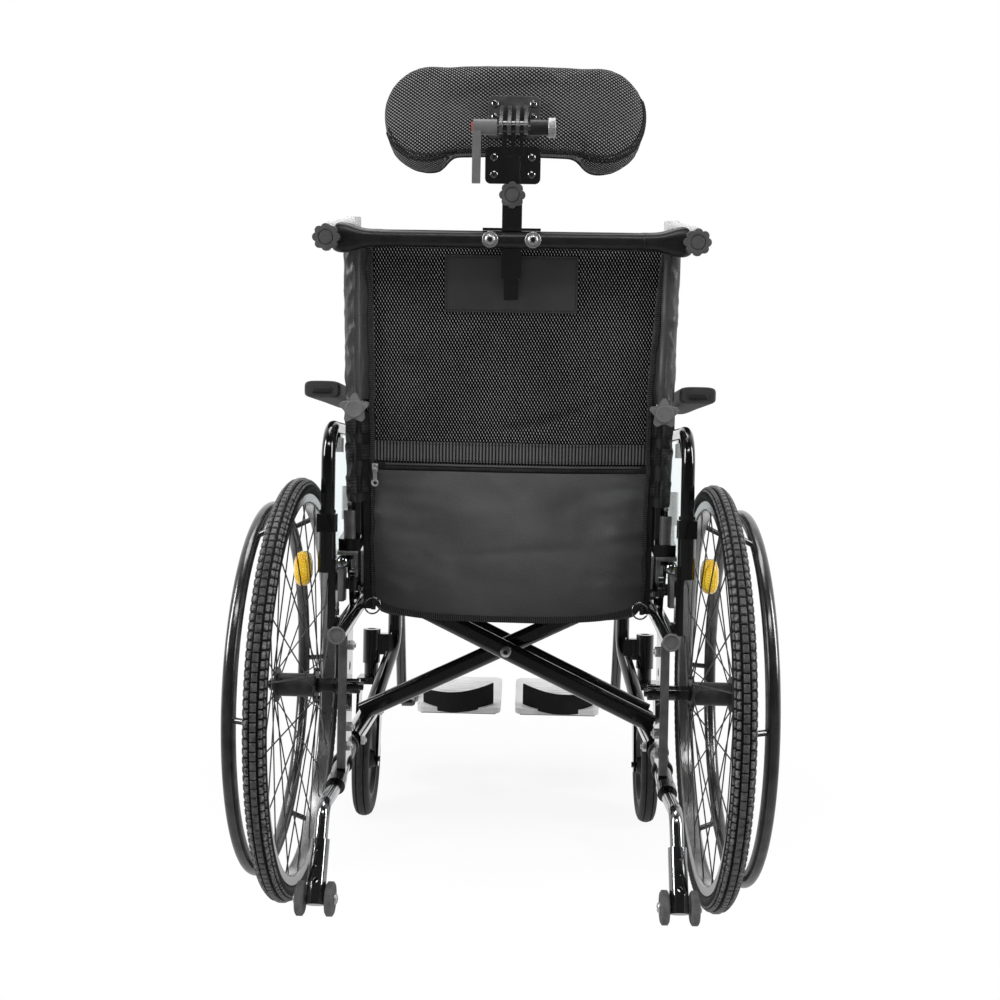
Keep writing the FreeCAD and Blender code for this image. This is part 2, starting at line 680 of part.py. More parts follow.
def headrest_hinge():
    """Plate on the back of the pad, with its fingers and the clamp bolt."""
    plate = rounded_plate(37.5, 1112, 1174, 5, 8)
    plate.translate(Vector(0, 21, 0))
    fingers = []
    for x in UPPER_FINGERS:
        low, high = x - FINGER_HALF, x + FINGER_HALF
        web = [(17, 1116), (17, 1160), (TILT_Y, TILT_Z + 9), (TILT_Y, TILT_Z - 9)]
        fingers.append(plate_yz(web, low, high))
        fingers.append(cylinder((low, TILT_Y, TILT_Z), (high, TILT_Y, TILT_Z), 9))
    bolt = cylinder((-58, TILT_Y, TILT_Z), (62, TILT_Y, TILT_Z), 3)
    return fuse(plate, bolt, *fingers)


def pad_section(x):
    """One section of the headrest pad: bulged sides, round ends, forward curve and two lower feet."""
    part = abs(x) / PAD_HALF_WIDTH
    flat = PAD_HALF_WIDTH - PAD_HALF_HEIGHT
    beyond = max(abs(x) - flat, 0)
    half = math.sqrt(PAD_HALF_HEIGHT ** 2 - beyond ** 2)
    foot = 20 * math.exp(-(((abs(x) - flat) / 34) ** 2))
    rear = 21.6 + 34 * part ** 2
    deep = 30 + 30 * half / PAD_HALF_HEIGHT
    near, far = rear + deep * 0.14, rear + deep * 0.86
    top, bottom = PAD_MIDDLE_Z + half, PAD_MIDDLE_Z - half
    round_in = half * 0.12
    sole = bottom - foot - 3
    at = lambda y, z: Vector(x, y, z)
    edges = [
        Part.Arc(at(near, bottom + round_in), at(rear, PAD_MIDDLE_Z), at(near, top - round_in)).toShape(),
        Part.Arc(at(near, top - round_in), at(rear + deep / 2, top), at(far, top - round_in)).toShape(),
        Part.Arc(at(far, top - round_in), at(rear + deep, PAD_MIDDLE_Z), at(far, bottom - foot)).toShape(),
        Part.Arc(at(far, bottom - foot), at(rear + deep * 0.6, sole), at(near, bottom + round_in)).toShape(),
    ]
    return Part.Wire(edges)


def headrest_pad():
    shares = (-0.985, -0.94, -0.84, -0.68, -0.5, -0.25, 0, 0.25, 0.5, 0.68, 0.84, 0.94, 0.985)
    return Part.makeLoft([pad_section(PAD_HALF_WIDTH * share) for share in shares], True)


def clamp_lever():
    hub = cylinder((-57, TILT_Y, TILT_Z), (-23, TILT_Y, TILT_Z), 11)
    outline = [(TILT_Y - 9, TILT_Z), (TILT_Y + 9, TILT_Z), (TILT_Y + 5, 1036), (TILT_Y - 5, 1036)]
    arm = plate_yz(outline, -58, -46)
    bore = cylinder((-60, TILT_Y, TILT_Z), (-20, TILT_Y, TILT_Z), 3 + RUN)
    return fuse(hub, arm).cut(bore)


def barrel_knob():
    barrel = cylinder((24, TILT_Y, TILT_Z), (50, TILT_Y, TILT_Z), 11)
    ring = cylinder((50, TILT_Y, TILT_Z), (60, TILT_Y, TILT_Z), 13)
    return fuse(barrel, ring).cut(cylinder((20, TILT_Y, TILT_Z), (70, TILT_Y, TILT_Z), 3 + RUN))


def back_frame(x, v, u):
    return Vector(x, v, u)


def back_upholstery():
    """Sling back between the canes, slack low down and taut at the top."""
    levels = ((-5, 14), (150, 12), (330, 5), (536, 1.6))
    sections = [arc_panel(219, 1, sag, 8, u, back_frame) for u, sag in levels]
    return leaned(Part.makeLoft(sections, True))


def back_pocket():
    """Slack pocket behind the lower back, with a rounded lower edge."""
    levels = ((-44, 178, 5), (-36, 190, 8), (-14, 200, 11), (40, 204, 13), (110, 204, 12), (182, 204, 5))
    behind, sag = 3.2, 13.0
    sections = [arc_panel(half, -thick - behind, sag, thick, u, back_frame) for u, half, thick in levels]
    return leaned(Part.makeLoft(sections, True))


# Arms
def arm_frame():
    rear, front = ARM_REAR_Y, ARM_FRONT_Y
    hoop = rod(
        [(ARM_X, rear, 472), (ARM_X, rear, ARM_TUBE_Z), (ARM_X, front, ARM_TUBE_Z), (ARM_X, front, 442)],
        ARM_TUBE_R,
        50,
    )
    stops = []
    for y, z in ((rear, 557), (front, 500)):
        stops.append(cylinder((ARM_X, y, z + 0.3), (ARM_X, y, z + 6), 12.5))
    blocks = [box((ARM_X - 8, y, ARM_TUBE_Z), (ARM_X + 4, y + 26, ARM_PAD[2])) for y in (230, 330)]
    clips = [box((262, y, ARM_TUBE_Z - 37), (270, y + 24, ARM_TUBE_Z - 3)) for y in (110, 320)]
    return fuse(hoop, *stops, *blocks, *clips)


def arm_pad():
    x, y, z, wide, long, tall = ARM_PAD
    pad = Part.makeBox(wide, long, tall, Vector(x, y, z))
    upright = [e for e in pad.Edges if abs(e.tangentAt(e.FirstParameter).z) > 0.9]
    pad = pad.makeFillet(12, upright)
    top = [e for e in pad.Edges if e.BoundBox.ZMin > z + tall - 0.1]
    return pad.makeFillet(7, top)


def skirt_guard():
    low, high = 455.0, ARM_TUBE_Z - 15
    rear, front = 45.0, 388.0
    corner, chamfer = 70.0, 25.0
    at = lambda y, z: Vector(259, y, z)
    bend = corner * (1 - math.sqrt(0.5))
    edges = [
        Part.LineSegment(at(rear, high - chamfer), at(rear, low + corner)).toShape(),
        Part.Arc(at(rear, low + corner), at(rear + bend, low + bend), at(rear + corner, low)).toShape(),
        Part.LineSegment(at(rear + corner, low), at(front, low)).toShape(),
        Part.LineSegment(at(front, low), at(front, high - chamfer)).toShape(),
        Part.LineSegment(at(front, high - chamfer), at(front - chamfer, high)).toShape(),
        Part.LineSegment(at(front - chamfer, high), at(rear + chamfer, high)).toShape(),
        Part.LineSegment(at(rear + chamfer, high), at(rear, high - chamfer)).toShape(),
    ]
    return Part.Face(Part.Wire(edges)).extrude(Vector(3, 0, 0))


# Brakes
def brake_lever():
    y, z = BRAKE_PIVOT
    outline = [(y - 7, z - 30), (y + 7, z - 30), (y + 8, z), (y + 8, z + 130), (y - 8, z + 130), (y - 8, z)]
    plate = plate_yz(outline, 279, 284)
    shoe = cylinder((279, y, z - 24), (315, y, z - 24), 8)
    grip = cylinder((281.5, y, z + 108), (281.5, y, z + 165), 8)
    bore = cylinder((270, y, z), (290, y, z), 5 + RUN)
    return fuse(plate, shoe, grip).cut(bore)


# Legrests
def along_foot(s, lift=0.0, x=FOOT_HINGE[0]):
    """A point along the footplate's hinge line, lifted square to the plate."""
    pitch = math.radians(FOOT_PITCH)
    y = FOOT_HINGE[1] + s * math.cos(pitch) - lift * math.sin(pitch)
    return x, y, FOOT_HINGE[2] + s * math.sin(pitch) + lift * math.cos(pitch)


def legrest_hanger():
    x, y = HANGER_X, HANGER_PIVOT_Y
    sleeve = cylinder((x, y, 326.4), (x, y, 408.6), 11)
    foot = along_foot(0, 0, x)
    arm = rod([(x, y, 388), (x, y + 52, 388), (x, foot[1], foot[2])], 10, 45)
    knee = cylinder((x, *foot[1:]), along_foot(0), 9)
    hinge = cylinder(along_foot(-6), along_foot(78), 6)
    bore = cylinder((x, y, 320), (x, y, 415), 6 + RUN)
    return fuse(sleeve, arm, knee, hinge).cut(bore)


def in_foot_frame(shape):
    """Pitches a shape made flat at the footplate hinge to the plate's own slope."""
    placed = shape.copy()
    placed.rotate(ORIGIN, X_AXIS, FOOT_PITCH)
    placed.translate(Vector(0, *FOOT_HINGE[1:]))
    return placed


def footplate():
    hinge_x = FOOT_HINGE[0]
    plate = box((FOOT_INNER_X, FOOT_HEEL, -6), (hinge_x - 12, FOOT_TOE, 6))
    upright = [e for e in plate.Edges if abs(e.tangentAt(e.FirstParameter).z) > 0.9]
    plate = plate.makeFillet(14, upright)
    pieces = [plate]
    for low, high in ((16, 36), (54, 74)):
        pieces.append(cylinder((hinge_x, low, 0), (hinge_x, high, 0), 10))
        pieces.append(box((hinge_x - 20, low, -6), (hinge_x - 4, high, 6)))
    bore = cylinder((hinge_x, FOOT_HEEL, 0), (hinge_x, FOOT_TOE, 0), 6 + RUN)
    return in_foot_frame(fuse(*pieces).cut(bore))


def heel_loop():
    """Webbing band behind the heel, on the plate's rear edge."""
    low, high = 6.2, 58.0
    inner, outer = FOOT_INNER_X + 4, FOOT_HINGE[0] - 16
    middle = (inner + outer) / 2
    near, back, thick = FOOT_HEEL + 26, FOOT_HEEL - 14, 3.0
    at = lambda x, y: Vector(x, y, low)
    edges = [
        Part.Arc(at(inner, near), at(middle, back), at(outer, near)).toShape(),
        Part.LineSegment(at(outer, near), at(outer - thick, near)).toShape(),
        Part.Arc(at(outer - thick, near), at(middle, back + thick), at(inner + thick, near)).toShape(),
        Part.LineSegment(at(inner + thick, near), at(inner, near)).toShape(),
    ]
    return in_foot_frame(Part.Face(Part.Wire(edges)).extrude(Vector(0, 0, high - low)))


PAIRS = {
    "side_frame": side_frame,
    "wheel_tyre": wheel_tyre,
    "wheel_rim": wheel_rim,
    "wheel_spokes": wheel_spokes,
    "wheel_hub": wheel_hub,
    "handrim": wheel_handrim,
    "castor_fork": castor_fork,
    "castor_tyre": castor_tyre,
    "castor_hub": castor_hub,
    "antitip_tube": antitip_tube,
    "antitip_leg": antitip_leg,
    "antitip_rollers": antitip_rollers,
    "back_cane": back_cane,
    "release_lever": release_lever,
    "star_knob": star_knob,
    "push_bar_knob": push_bar_knob,
    "arm_frame": arm_frame,
    "arm_pad": arm_pad,
    "skirt_guard": skirt_guard,
    "brake_lever": brake_lever,
    "legrest_hanger": legrest_hanger,
    "footplate": footplate,
    "heel_loop": heel_loop,
}

SINGLES = {
    "cross_brace_pair": cross_brace_pair,
    "cross_brace_single": cross_brace_single,
    "seat_sling": seat_sling,
    "push_bar": push_bar,
    "headrest_bracket": headrest_bracket,
    "stem_knob": stem_knob,
    "headrest_stem": headrest_stem,
    "headrest_hinge": headrest_hinge,
    "headrest_pad": headrest_pad,
    "clamp_lever": clamp_lever,
    "barrel_knob": barrel_knob,
    "back_upholstery": back_upholstery,
    "back_pocket": back_pocket,
}

# The origin is under the middle of the box: the rear tyre and the footplate's lower toe edge are its ends
TOE_Y = in_foot_frame(box((0, 0, -6), (1, FOOT_TOE, 6))).BoundBox.YMax
AXLE_Y = (WHEEL_R - TOE_Y) / 2


def main():
    os.makedirs("parts", exist_ok=True)
    shapes = {name: make() for name, make in SINGLES.items()}
    for name, make in PAIRS.items():
        right = make()
        shapes["right_" + name] = right
        shapes["left_" + name] = mirrored(right)
    for name, shape in shapes.items():
        shape.translate(Vector(0, AXLE_Y, 0))
        shape.exportStep("parts/" + name + ".step")
        state = "valid" if shape.isValid() else "not valid"
        print(name, len(shape.Solids), "solids", state, round(shape.Volume / 1000, 1), "cm3")
    print("rear axle at y", round(AXLE_Y, 2))


main()
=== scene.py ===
import math

import bmesh
import bpy
from mathutils import Matrix, Vector, noise
from mathutils.bvhtree import BVHTree


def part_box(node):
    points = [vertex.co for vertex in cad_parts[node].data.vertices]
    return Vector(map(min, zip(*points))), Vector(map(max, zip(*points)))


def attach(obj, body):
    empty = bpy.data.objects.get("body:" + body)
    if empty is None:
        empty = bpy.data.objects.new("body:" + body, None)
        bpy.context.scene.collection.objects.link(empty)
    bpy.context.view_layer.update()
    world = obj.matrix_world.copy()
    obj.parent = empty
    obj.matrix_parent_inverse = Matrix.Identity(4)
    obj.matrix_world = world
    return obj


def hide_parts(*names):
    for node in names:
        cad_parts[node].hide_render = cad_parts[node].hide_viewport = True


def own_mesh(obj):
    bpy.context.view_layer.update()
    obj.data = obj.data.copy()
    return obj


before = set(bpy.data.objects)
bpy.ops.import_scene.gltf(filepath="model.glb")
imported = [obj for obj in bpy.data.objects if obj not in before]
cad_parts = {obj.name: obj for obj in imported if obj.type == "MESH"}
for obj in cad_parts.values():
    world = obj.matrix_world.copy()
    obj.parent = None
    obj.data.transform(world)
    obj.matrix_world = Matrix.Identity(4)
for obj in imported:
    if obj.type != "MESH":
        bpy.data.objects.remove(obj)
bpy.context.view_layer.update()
SCENE = bpy.context.scene
SIDES = (("right", 1), ("left", -1))

# The rear axle's place along the chair, in metres of the shared frame
hub_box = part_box("right_wheel_hub")
AXLE_Y = (hub_box[0][1] + hub_box[1][1]) / 2

# Driving sizes in millimetres: x from the middle plane, y from the rear axle, z from the floor
AXLE_Z = 305.0
WHEEL_X = 301.0
TYRE_MID = 289.6
TREAD_TALL = 3.2
RAIL_X = 237.0
RECLINE_Y = 124.4
RECLINE_Z = 445.0
CANE_X = 235.0
PANEL_HALF = 223.0
PATCH_HALF = 99.0
SEWN_FROM = -188.0
TILT_Y = -30.0
TILT_Z = 1115.0
PAD_REAR = 22.0
PAD_Z = 1160.0
PAD_HALF_WIDTH = 198.0
PAD_HALF_HEIGHT = 68.0
ARM_PAD_LOW = (257.0, 60.0, 731.0)
ARM_PAD_SIZE = (54.0, 330.0, 26.0)
FOOT_MID = 98.0
FOOT_HINGE_Y = 650.0
FOOT_HINGE_Z = 160.0

# The back in millimetres: heights up the leaning canes from the recline pivot, and sizes of what is on it
CANE_TOP = 558.0
PANEL_TOP = 537.0
EDGE_LOW = -40.0
STRIP_TALL = 222.0
BAND_LOW = 197.0
BAND_HIGH = 227.0
ZIP_U = 187.0
POCKET_LOW = -47.0
POCKET_DROP = 4.0
PATCH_LOW = 424.0
PATCH_HIGH = 507.0
STAR_KNOB_U = 280.0
SLEEVE_LOW = 290.0
WRAP_LOW = 132.0
WRAP_HIGH = 272.0
STRAPS_LOW = (146, 196, 238)
STRAP_WIDE = 28.0
ZIP_PULL_X = -204.0
PUSH_BAR_U = 530.0
PUSH_BAR_V = -34.0
PUSH_BAR_R = 12.5
BAR_BOLTS_X = (-31, 31)

# Angles, counts and shares
LEAN = math.radians(10.24)
FOOT_PITCH = math.radians(13.1)
TREAD_COUNT = 156
WORLD_LEVEL = 0.26

# The photograph's camera, fitted to the wheel: yaw, pitch and roll in degrees, the rest in millimetres
CAMERA_TURN = (-1.222, -1.257, 1.061)
CAMERA_PLACE = (27.9, -1772.8, 621.4)
CAMERA_LENS = 43.697
CAMERA_SENSOR = 36.0


def spot(x, y, z):
    """A chair point in the shared frame, in metres."""
    return Vector((x / 1000, y / 1000 + AXLE_Y, z / 1000))


def cane_spot(x, v, u):
    """A point in the back's own frame: v forward of the cane's axis, u up it."""
    y = RECLINE_Y + v * math.cos(LEAN) - u * math.sin(LEAN)
    z = RECLINE_Z + v * math.sin(LEAN) + u * math.cos(LEAN)
    return spot(x, y, z)


def foot_spot(x, s, lift):
    """A point on the footplate: s along its slope, lift square to it."""
    y = FOOT_HINGE_Y + s * math.cos(FOOT_PITCH) - lift * math.sin(FOOT_PITCH)
    z = FOOT_HINGE_Z + s * math.sin(FOOT_PITCH) + lift * math.cos(FOOT_PITCH)
    return spot(x, y, z)


def loose_spot(x, y, z):
    """A point in metres of a shape that has no place in the chair yet."""
    return Vector((x, y, z)) / 1000


def ripple(x, y, z=0.0):
    """Smooth unevenness from -1 to 1, the same on every run."""
    return noise.noise(Vector((x, y, z)))


ORIGIN = Vector((0, 0, 0))
AXLE = Vector((1, 0, 0))
FRONT = Vector((0, 1, 0))
BACK = Vector((0, -1, 0))
UP = Vector((0, 0, 1))
REAR = (cane_spot(0, -1, 0) - cane_spot(0, 0, 0)).normalized()
UP_CANE = (cane_spot(0, 0, 1) - cane_spot(0, 0, 0)).normalized()


# Node trees and finishes
class Nodes:
    """Short calls that fill a node tree."""

    def __init__(self, tree):
        self.tree = tree

    def feed(self, socket, value):
        """Links an output to a socket, or sets the socket to a fixed value."""
        if isinstance(value, bpy.types.NodeSocket):
            self.tree.links.new(value, socket)
        else:
            socket.default_value = value

    def add(self, kind, inputs=None, **settings):
        """A node with its settings, and with inputs fed by name or number."""
        node = self.tree.nodes.new(kind)
        for key, value in settings.items():
            setattr(node, key, value)
        for socket, value in (inputs or {}).items():
            self.feed(node.inputs[socket], value)
        return node

    def calc(self, operation, *values):
        """The result of one operation on numbers."""
        return self.add("ShaderNodeMath", dict(enumerate(values)), operation=operation).outputs[0]

    def vector(self, operation, out, *values):
        """The named result of one operation on vectors."""
        return self.add("ShaderNodeVectorMath", dict(enumerate(values)), operation=operation).outputs[out]

    def weighted(self, *shares):
        """The sum of (value, weight) pairs."""
        total = None
        for value, weight in shares:
            part = self.calc("MULTIPLY", value, weight)
            total = part if total is None else self.calc("ADD", total, part)
        return total


class Finish(Nodes):
    """A material whose colour, roughness and bump come from nodes."""

    def __init__(self, name, **fixed):
        self.material = bpy.data.materials.new(name)
        self.material.use_nodes = True
        super().__init__(self.material.node_tree)
        self.shader = self.tree.nodes["Principled BSDF"]
        for socket, value in fixed.items():
            self.shader.inputs[socket.replace("_", " ")].default_value = value
        self.coords = self.add("ShaderNodeTexCoord").outputs

    def noise(self, scale, detail=3.0, where="Object", stretch=None, **settings):
        """Noise at a scale per metre, drawn out along an axis where stretch is given."""
        source = self.coords[where]
        if stretch:
            source = self.add("ShaderNodeMapping", {"Scale": stretch, "Vector": source}).outputs["Vector"]
        inputs = {"Scale": scale, "Detail": detail, "Vector": source}
        return self.add("ShaderNodeTexNoise", inputs, **settings).outputs["Fac"]

    def colour(self, factor, *stops):
        """Base colour from a factor, as (place, shade or colour) stops."""
        ramp = self.add("ShaderNodeValToRGB", {"Fac": factor})
        elements = ramp.color_ramp.elements
        for i, (place, shade) in enumerate(stops):
            stop = elements[i] if i < 2 else elements.new(place)
            stop.position = place
            rgb = (shade,) * 3 if isinstance(shade, float) else shade
            stop.color = (*rgb, 1.0)
        self.feed(self.shader.inputs["Base Color"], ramp.outputs["Color"])

    def roughness(self, factor, low, high):
        """Roughness that runs from low to high with a factor."""
        span = self.add("ShaderNodeMapRange", {"To Min": low, "To Max": high, "Value": factor})
        self.feed(self.shader.inputs["Roughness"], span.outputs["Result"])

    def soft_edges(self, radius):
        """Rounds the look of sharp edges by a radius in metres."""
        node = self.add("ShaderNodeBevel", {"Radius": radius}, samples=4)
        self.feed(self.shader.inputs["Normal"], node.outputs["Normal"])

    def bump(self, height, distance, strength=1.0):
        """Relief of a distance in metres, on top of the relief that is there already."""
        normal = self.shader.inputs["Normal"]
        inputs = {"Distance": distance, "Strength": strength, "Height": height}
        if normal.is_linked:
            inputs["Normal"] = normal.links[0].from_socket
        self.feed(normal, self.add("ShaderNodeBump", inputs).outputs["Normal"])

    def edge_fade(self, centre, half):
        """Zero over the middle of an area, rising towards its edges: the mask for painted shade at an area's
        edges.
        """
        shift = [-c / h for c, h in zip(centre, half)]
        inputs = {"Location": shift, "Scale": [1 / h for h in half], "Vector": self.coords["Object"]}
        mapping = self.add("ShaderNodeMapping", inputs)
        reach = self.vector("LENGTH", "Value", mapping.outputs["Vector"])
        past = self.calc("MAXIMUM", self.calc("SUBTRACT", reach, 0.62), 0.0)
        return self.calc("MULTIPLY", past, 0.4)

    def waves(self, directions, pitch, where="UV", weights=(1.0, 1.0, 1.0)):
        """Weighted sum of cosine ridges across the given directions, at a pitch in metres."""
        ridges = []
        for direction in directions:
            ahead = [c * 2 * math.pi / pitch for c in direction]
            ridges.append(self.calc("COSINE", self.vector("DOT_PRODUCT", "Value", self.coords[where], ahead)))
        return self.weighted(*zip(ridges, weights))


def powder_coat():
    """Gloss black tube with a faint orange-peel and dusty patches."""
    f = Finish("powder_coat_black", Coat_Weight=0.8, Coat_Roughness=0.03, Specular_IOR_Level=0.5)
    f.colour(f.noise(9.0, 4.0), (0.3, 0.002), (0.75, 0.005))
    f.roughness(f.noise(40.0, 5.0), 0.08, 0.2)
    f.soft_edges(0.001)
    f.bump(f.noise(1400.0, 1.0), 0.00001, 0.3)
    return f.material


def satin_metal(name, dark, light, metallic=0.6, rough=(0.28, 0.5)):
    """Blasted or anodised metal, clouded a little by handling."""
    f = Finish(name, Metallic=metallic)
    grain = f.noise(60.0, 6.0)
    f.colour(grain, (0.25, dark), (0.8, light))
    f.roughness(grain, *rough)
    f.soft_edges(0.0012)
    f.bump(f.noise(900.0, 2.0), 0.00005, 0.4)
    return f.material


def chrome_plate():
    """Bright plating with a thin haze and fine rubs along the tube."""
    f = Finish("chrome_plate", Metallic=1.0)
    f.colour(f.noise(30.0, 5.0), (0.3, (0.26, 0.265, 0.275)), (0.8, (0.46, 0.465, 0.475)))
    f.roughness(f.noise(140.0, 6.0, stretch=(1, 1, 6)), 0.05, 0.2)
    f.bump(f.noise(300.0, 2.0), 0.00004, 0.4)
    return f.material


def radius_from_axle(f):
    """Distance from the rear axle, in metres."""
    shift = f.vector("SUBTRACT", "Vector", f.coords["Object"], spot(0, 0, AXLE_Z))
    return f.vector("LENGTH", "Value", f.vector("MULTIPLY", "Vector", shift, (0, 1, 1)))


def tyre_rubber():
    """Casing with moulded rings and a paler sidewall."""
    f = Finish("tyre_rubber", Specular_IOR_Level=0.15)
    reach = radius_from_axle(f)
    share = f.calc("MULTIPLY", f.calc("SUBTRACT", reach, 0.280), 40.0)
    dust = f.calc("MULTIPLY", f.noise(160.0, 6.0), 0.25)
    f.colour(f.calc("ADD", share, dust), (0.1, 0.07), (0.4, 0.03), (0.62, 0.004))
    f.roughness(f.noise(220.0, 4.0), 0.5, 0.8)
    f.bump(f.calc("SINE", f.calc("MULTIPLY", reach, 2 * math.pi / 0.0022)), 0.0002, 0.5)
    f.bump(f.noise(1200.0, 2.0), 0.0001, 0.4)
    return f.material


def tread_rubber():
    """Block tops scuffed pale by the floor."""
    f = Finish("tread_rubber", Specular_IOR_Level=0.3)
    scuff = f.noise(260.0, 6.0)
    f.colour(scuff, (0.32, 0.025), (0.7, 0.22))
    f.roughness(scuff, 0.35, 0.7)
    f.bump(f.noise(1500.0, 3.0), 0.00015, 0.6)
    return f.material


def solid_rubber(name, dark, light, rough=(0.55, 0.8)):
    """Solid tyre rubber with dust in its pores."""
    f = Finish(name, Specular_IOR_Level=0.35)
    dust = f.noise(120.0, 6.0)
    f.colour(dust, (0.3, dark), (0.75, light))
    f.roughness(dust, *rough)
    f.bump(f.noise(1300.0, 3.0), 0.00012, 0.5)
    return f.material


def moulded_plastic(name, dark, light):
    """Spark-textured moulding with faint flow marks."""
    f = Finish(name, Specular_IOR_Level=0.45)
    f.colour(f.noise(25.0, 3.0), (0.3, dark), (0.75, light))
    f.roughness(f.noise(200.0, 4.0), 0.4, 0.6)
    f.soft_edges(0.0018)
    f.bump(f.noise(2200.0, 2.0), 0.0001, 0.6)
    return f.material


HEX = ((0.866, 0.5, 0.0), (-0.866, 0.5, 0.0), (0.0, -1.0, 0.0))
PAD_HEX = ((0.6, 0.8, 0.0), (-0.55, 0.835, 0.0), (1.15, 0.0, 0.0))
PRISMS = ((1.0, 0.35, 0.0), (-0.5, 0.25, 0.866), (-0.5, -0.6, -0.866))
NET_WEIGHTS = (1.0, 0.65, 0.3)


def spacer_mesh(name, shades, directions, pitch):
    """Knitted spacer mesh: dark holes in a net of pale, shiny yarn that runs more one way than the other."""
    f = Finish(name, Specular_IOR_Level=0.05)
    ridges = f.waves(directions, pitch, "UV", NET_WEIGHTS)
    hole = f.calc("MULTIPLY", f.calc("ADD", ridges, 1.35), 1 / 3.3)
    yarn = f.calc("MULTIPLY", f.noise(900.0, 3.0, "UV"), 0.16)
    wear = f.calc("MULTIPLY", f.noise(12.0, 2.0, "UV"), 0.08)
    f.colour(f.calc("ADD", f.calc("ADD", hole, yarn), f.calc("SUBTRACT", wear, 0.12)), *shades)
    f.roughness(hole, 0.4, 0.9)
    f.bump(f.calc("MULTIPLY", hole, -1.0), 0.0009)
    return f.material


def woven_nylon(name, dark, light, pitch=0.0011, gloss=(0.5, 0.7), shine=0.12, crumple=0.0, painted_edge_shade=None):
    """Plain-weave nylon, slightly uneven in colour and creased; given an area, its colour is darkened towards
    that area's edges as painted shade.
    """
    f = Finish(name, Specular_IOR_Level=shine)
    crossed = f.calc("MULTIPLY", f.waves(((1, 0, 0),), pitch), f.waves(((0, 1, 0),), pitch))
    weave = f.calc("ADD", f.calc("MULTIPLY", crossed, 0.25), 0.5)
    shade = f.weighted((weave, 0.3), (f.noise(9.0, 4.0, "UV"), 0.4), (f.noise(420.0, 3.0, "UV"), 0.3))
    # Painted shade: the colour darkens towards the edges of the given area, standing in for the shade at the
    # pocket's sides and bottom
    if painted_edge_shade:
        shade = f.calc("SUBTRACT", shade, f.edge_fade(*painted_edge_shade))
    f.colour(shade, (0.3, dark), (0.7, light))
    f.roughness(weave, *gloss)
    f.bump(weave, 0.00025, 0.7)
    f.bump(f.noise(60.0, 4.0, "UV"), 0.0008, 0.4)
    if crumple:
        f.bump(f.noise(11.0, 2.0, noise_type="RIDGED_MULTIFRACTAL"), crumple)
    return f.material


def ribbed_webbing(name, dark, light, pitch, across=(1, 0, 0)):
    """Heavy webbing with ribs across its length."""
    f = Finish(name, Specular_IOR_Level=0.12)
    ribs = f.calc("ADD", f.calc("MULTIPLY", f.waves((across,), pitch), 0.5), 0.5)
    yarn = f.noise(700.0, 4.0, "UV")
    f.colour(f.weighted((ribs, 0.5), (yarn, 0.5)), (0.3, dark), (0.7, light))
    f.roughness(yarn, 0.6, 0.9)
    f.bump(ribs, 0.0006, 0.8)
    f.bump(yarn, 0.0003, 0.5)
    return f.material


def soft_skin():
    """Foam skin of the armrest pads, with a fine leather grain."""
    f = Finish("foam_skin", Specular_IOR_Level=0.15)
    inputs = {"Scale": 420.0, "Vector": f.coords["Object"]}
    grain = f.add("ShaderNodeTexVoronoi", inputs, feature="DISTANCE_TO_EDGE")
    f.colour(f.noise(30.0, 4.0), (0.3, 0.03), (0.75, 0.05))
    f.roughness(f.noise(90.0, 4.0), 0.55, 0.7)
    f.bump(grain.outputs["Distance"], 0.0004, 0.6)
    return f.material


def dotted_grip():
    """Pale handle rubber with rows of small raised dots."""
    f = Finish("grip_rubber", Specular_IOR_Level=0.35)
    grime = f.noise(40.0, 5.0)
    f.colour(grime, (0.3, 0.62), (0.75, 0.8))
    f.roughness(grime, 0.45, 0.65)
    f.bump(f.waves(PRISMS, 0.003, "Object"), 0.0004, 0.5)
    return f.material


def reflector_amber():
    """Amber lens with a pattern of small prisms."""
    f = Finish("reflector_amber", Coat_Weight=1.0, Coat_Roughness=0.05)
    prisms = f.waves(PRISMS, 0.0035, "Object")
    tint = f.weighted((prisms, 0.12), (f.noise(50.0, 3.0), 0.8))
    f.colour(tint, (0.2, (0.95, 0.5, 0.005)), (0.7, (1.0, 0.72, 0.03)))
    f.roughness(prisms, 0.2, 0.35)
    f.bump(prisms, 0.0004, 0.6)
    return f.material


def side_guard_plastic():
    """Clear sheet with a pale teal tint and a light haze."""
    f = Finish("guard_sheet", Transmission_Weight=1.0, IOR=1.04)
    f.colour(f.noise(12.0, 3.0), (0.3, (0.86, 0.94, 0.94)), (0.75, (0.93, 0.97, 0.97)))
    f.roughness(f.noise(80.0, 4.0), 0.0, 0.05)
    f.bump(f.noise(600.0, 2.0), 0.00004, 0.4)
    return f.material


POWDER = powder_coat()
GREY_METAL = satin_metal("satin_grey_metal", 0.10, 0.19)
DARK_METAL = satin_metal("satin_dark_metal", 0.02, 0.05, 0.3)
RIM_METAL = satin_metal("rim_anodised", 0.3, 0.42, 0.95, (0.16, 0.28))
HANDRIM_METAL = satin_metal("handrim_anodised", 0.09, 0.16, 0.85, (0.14, 0.26))
SPOKE_METAL = satin_metal("spoke_dark_steel", 0.05, 0.12, 0.9)
PLATE_METAL = satin_metal("plate_satin", 0.07, 0.14, 0.5, (0.2, 0.34))
BAR_SATIN = satin_metal("bar_satin", 0.008, 0.018, 0.15, (0.26, 0.38))
BOLT_STEEL = satin_metal("bolt_zinc", 0.55, 0.75, 0.95)
CHROME = chrome_plate()
TYRE = tyre_rubber()
TREAD = tread_rubber()
RIB_RUBBER = solid_rubber("rib_rubber", 0.035, 0.11, (0.22, 0.36))
CASTOR_RUBBER = solid_rubber("castor_rubber", 0.016, 0.04)
ROLLER_RUBBER = solid_rubber("roller_rubber", 0.07, 0.13)
BLACK_PLASTIC = moulded_plastic("black_plastic", 0.008, 0.018)
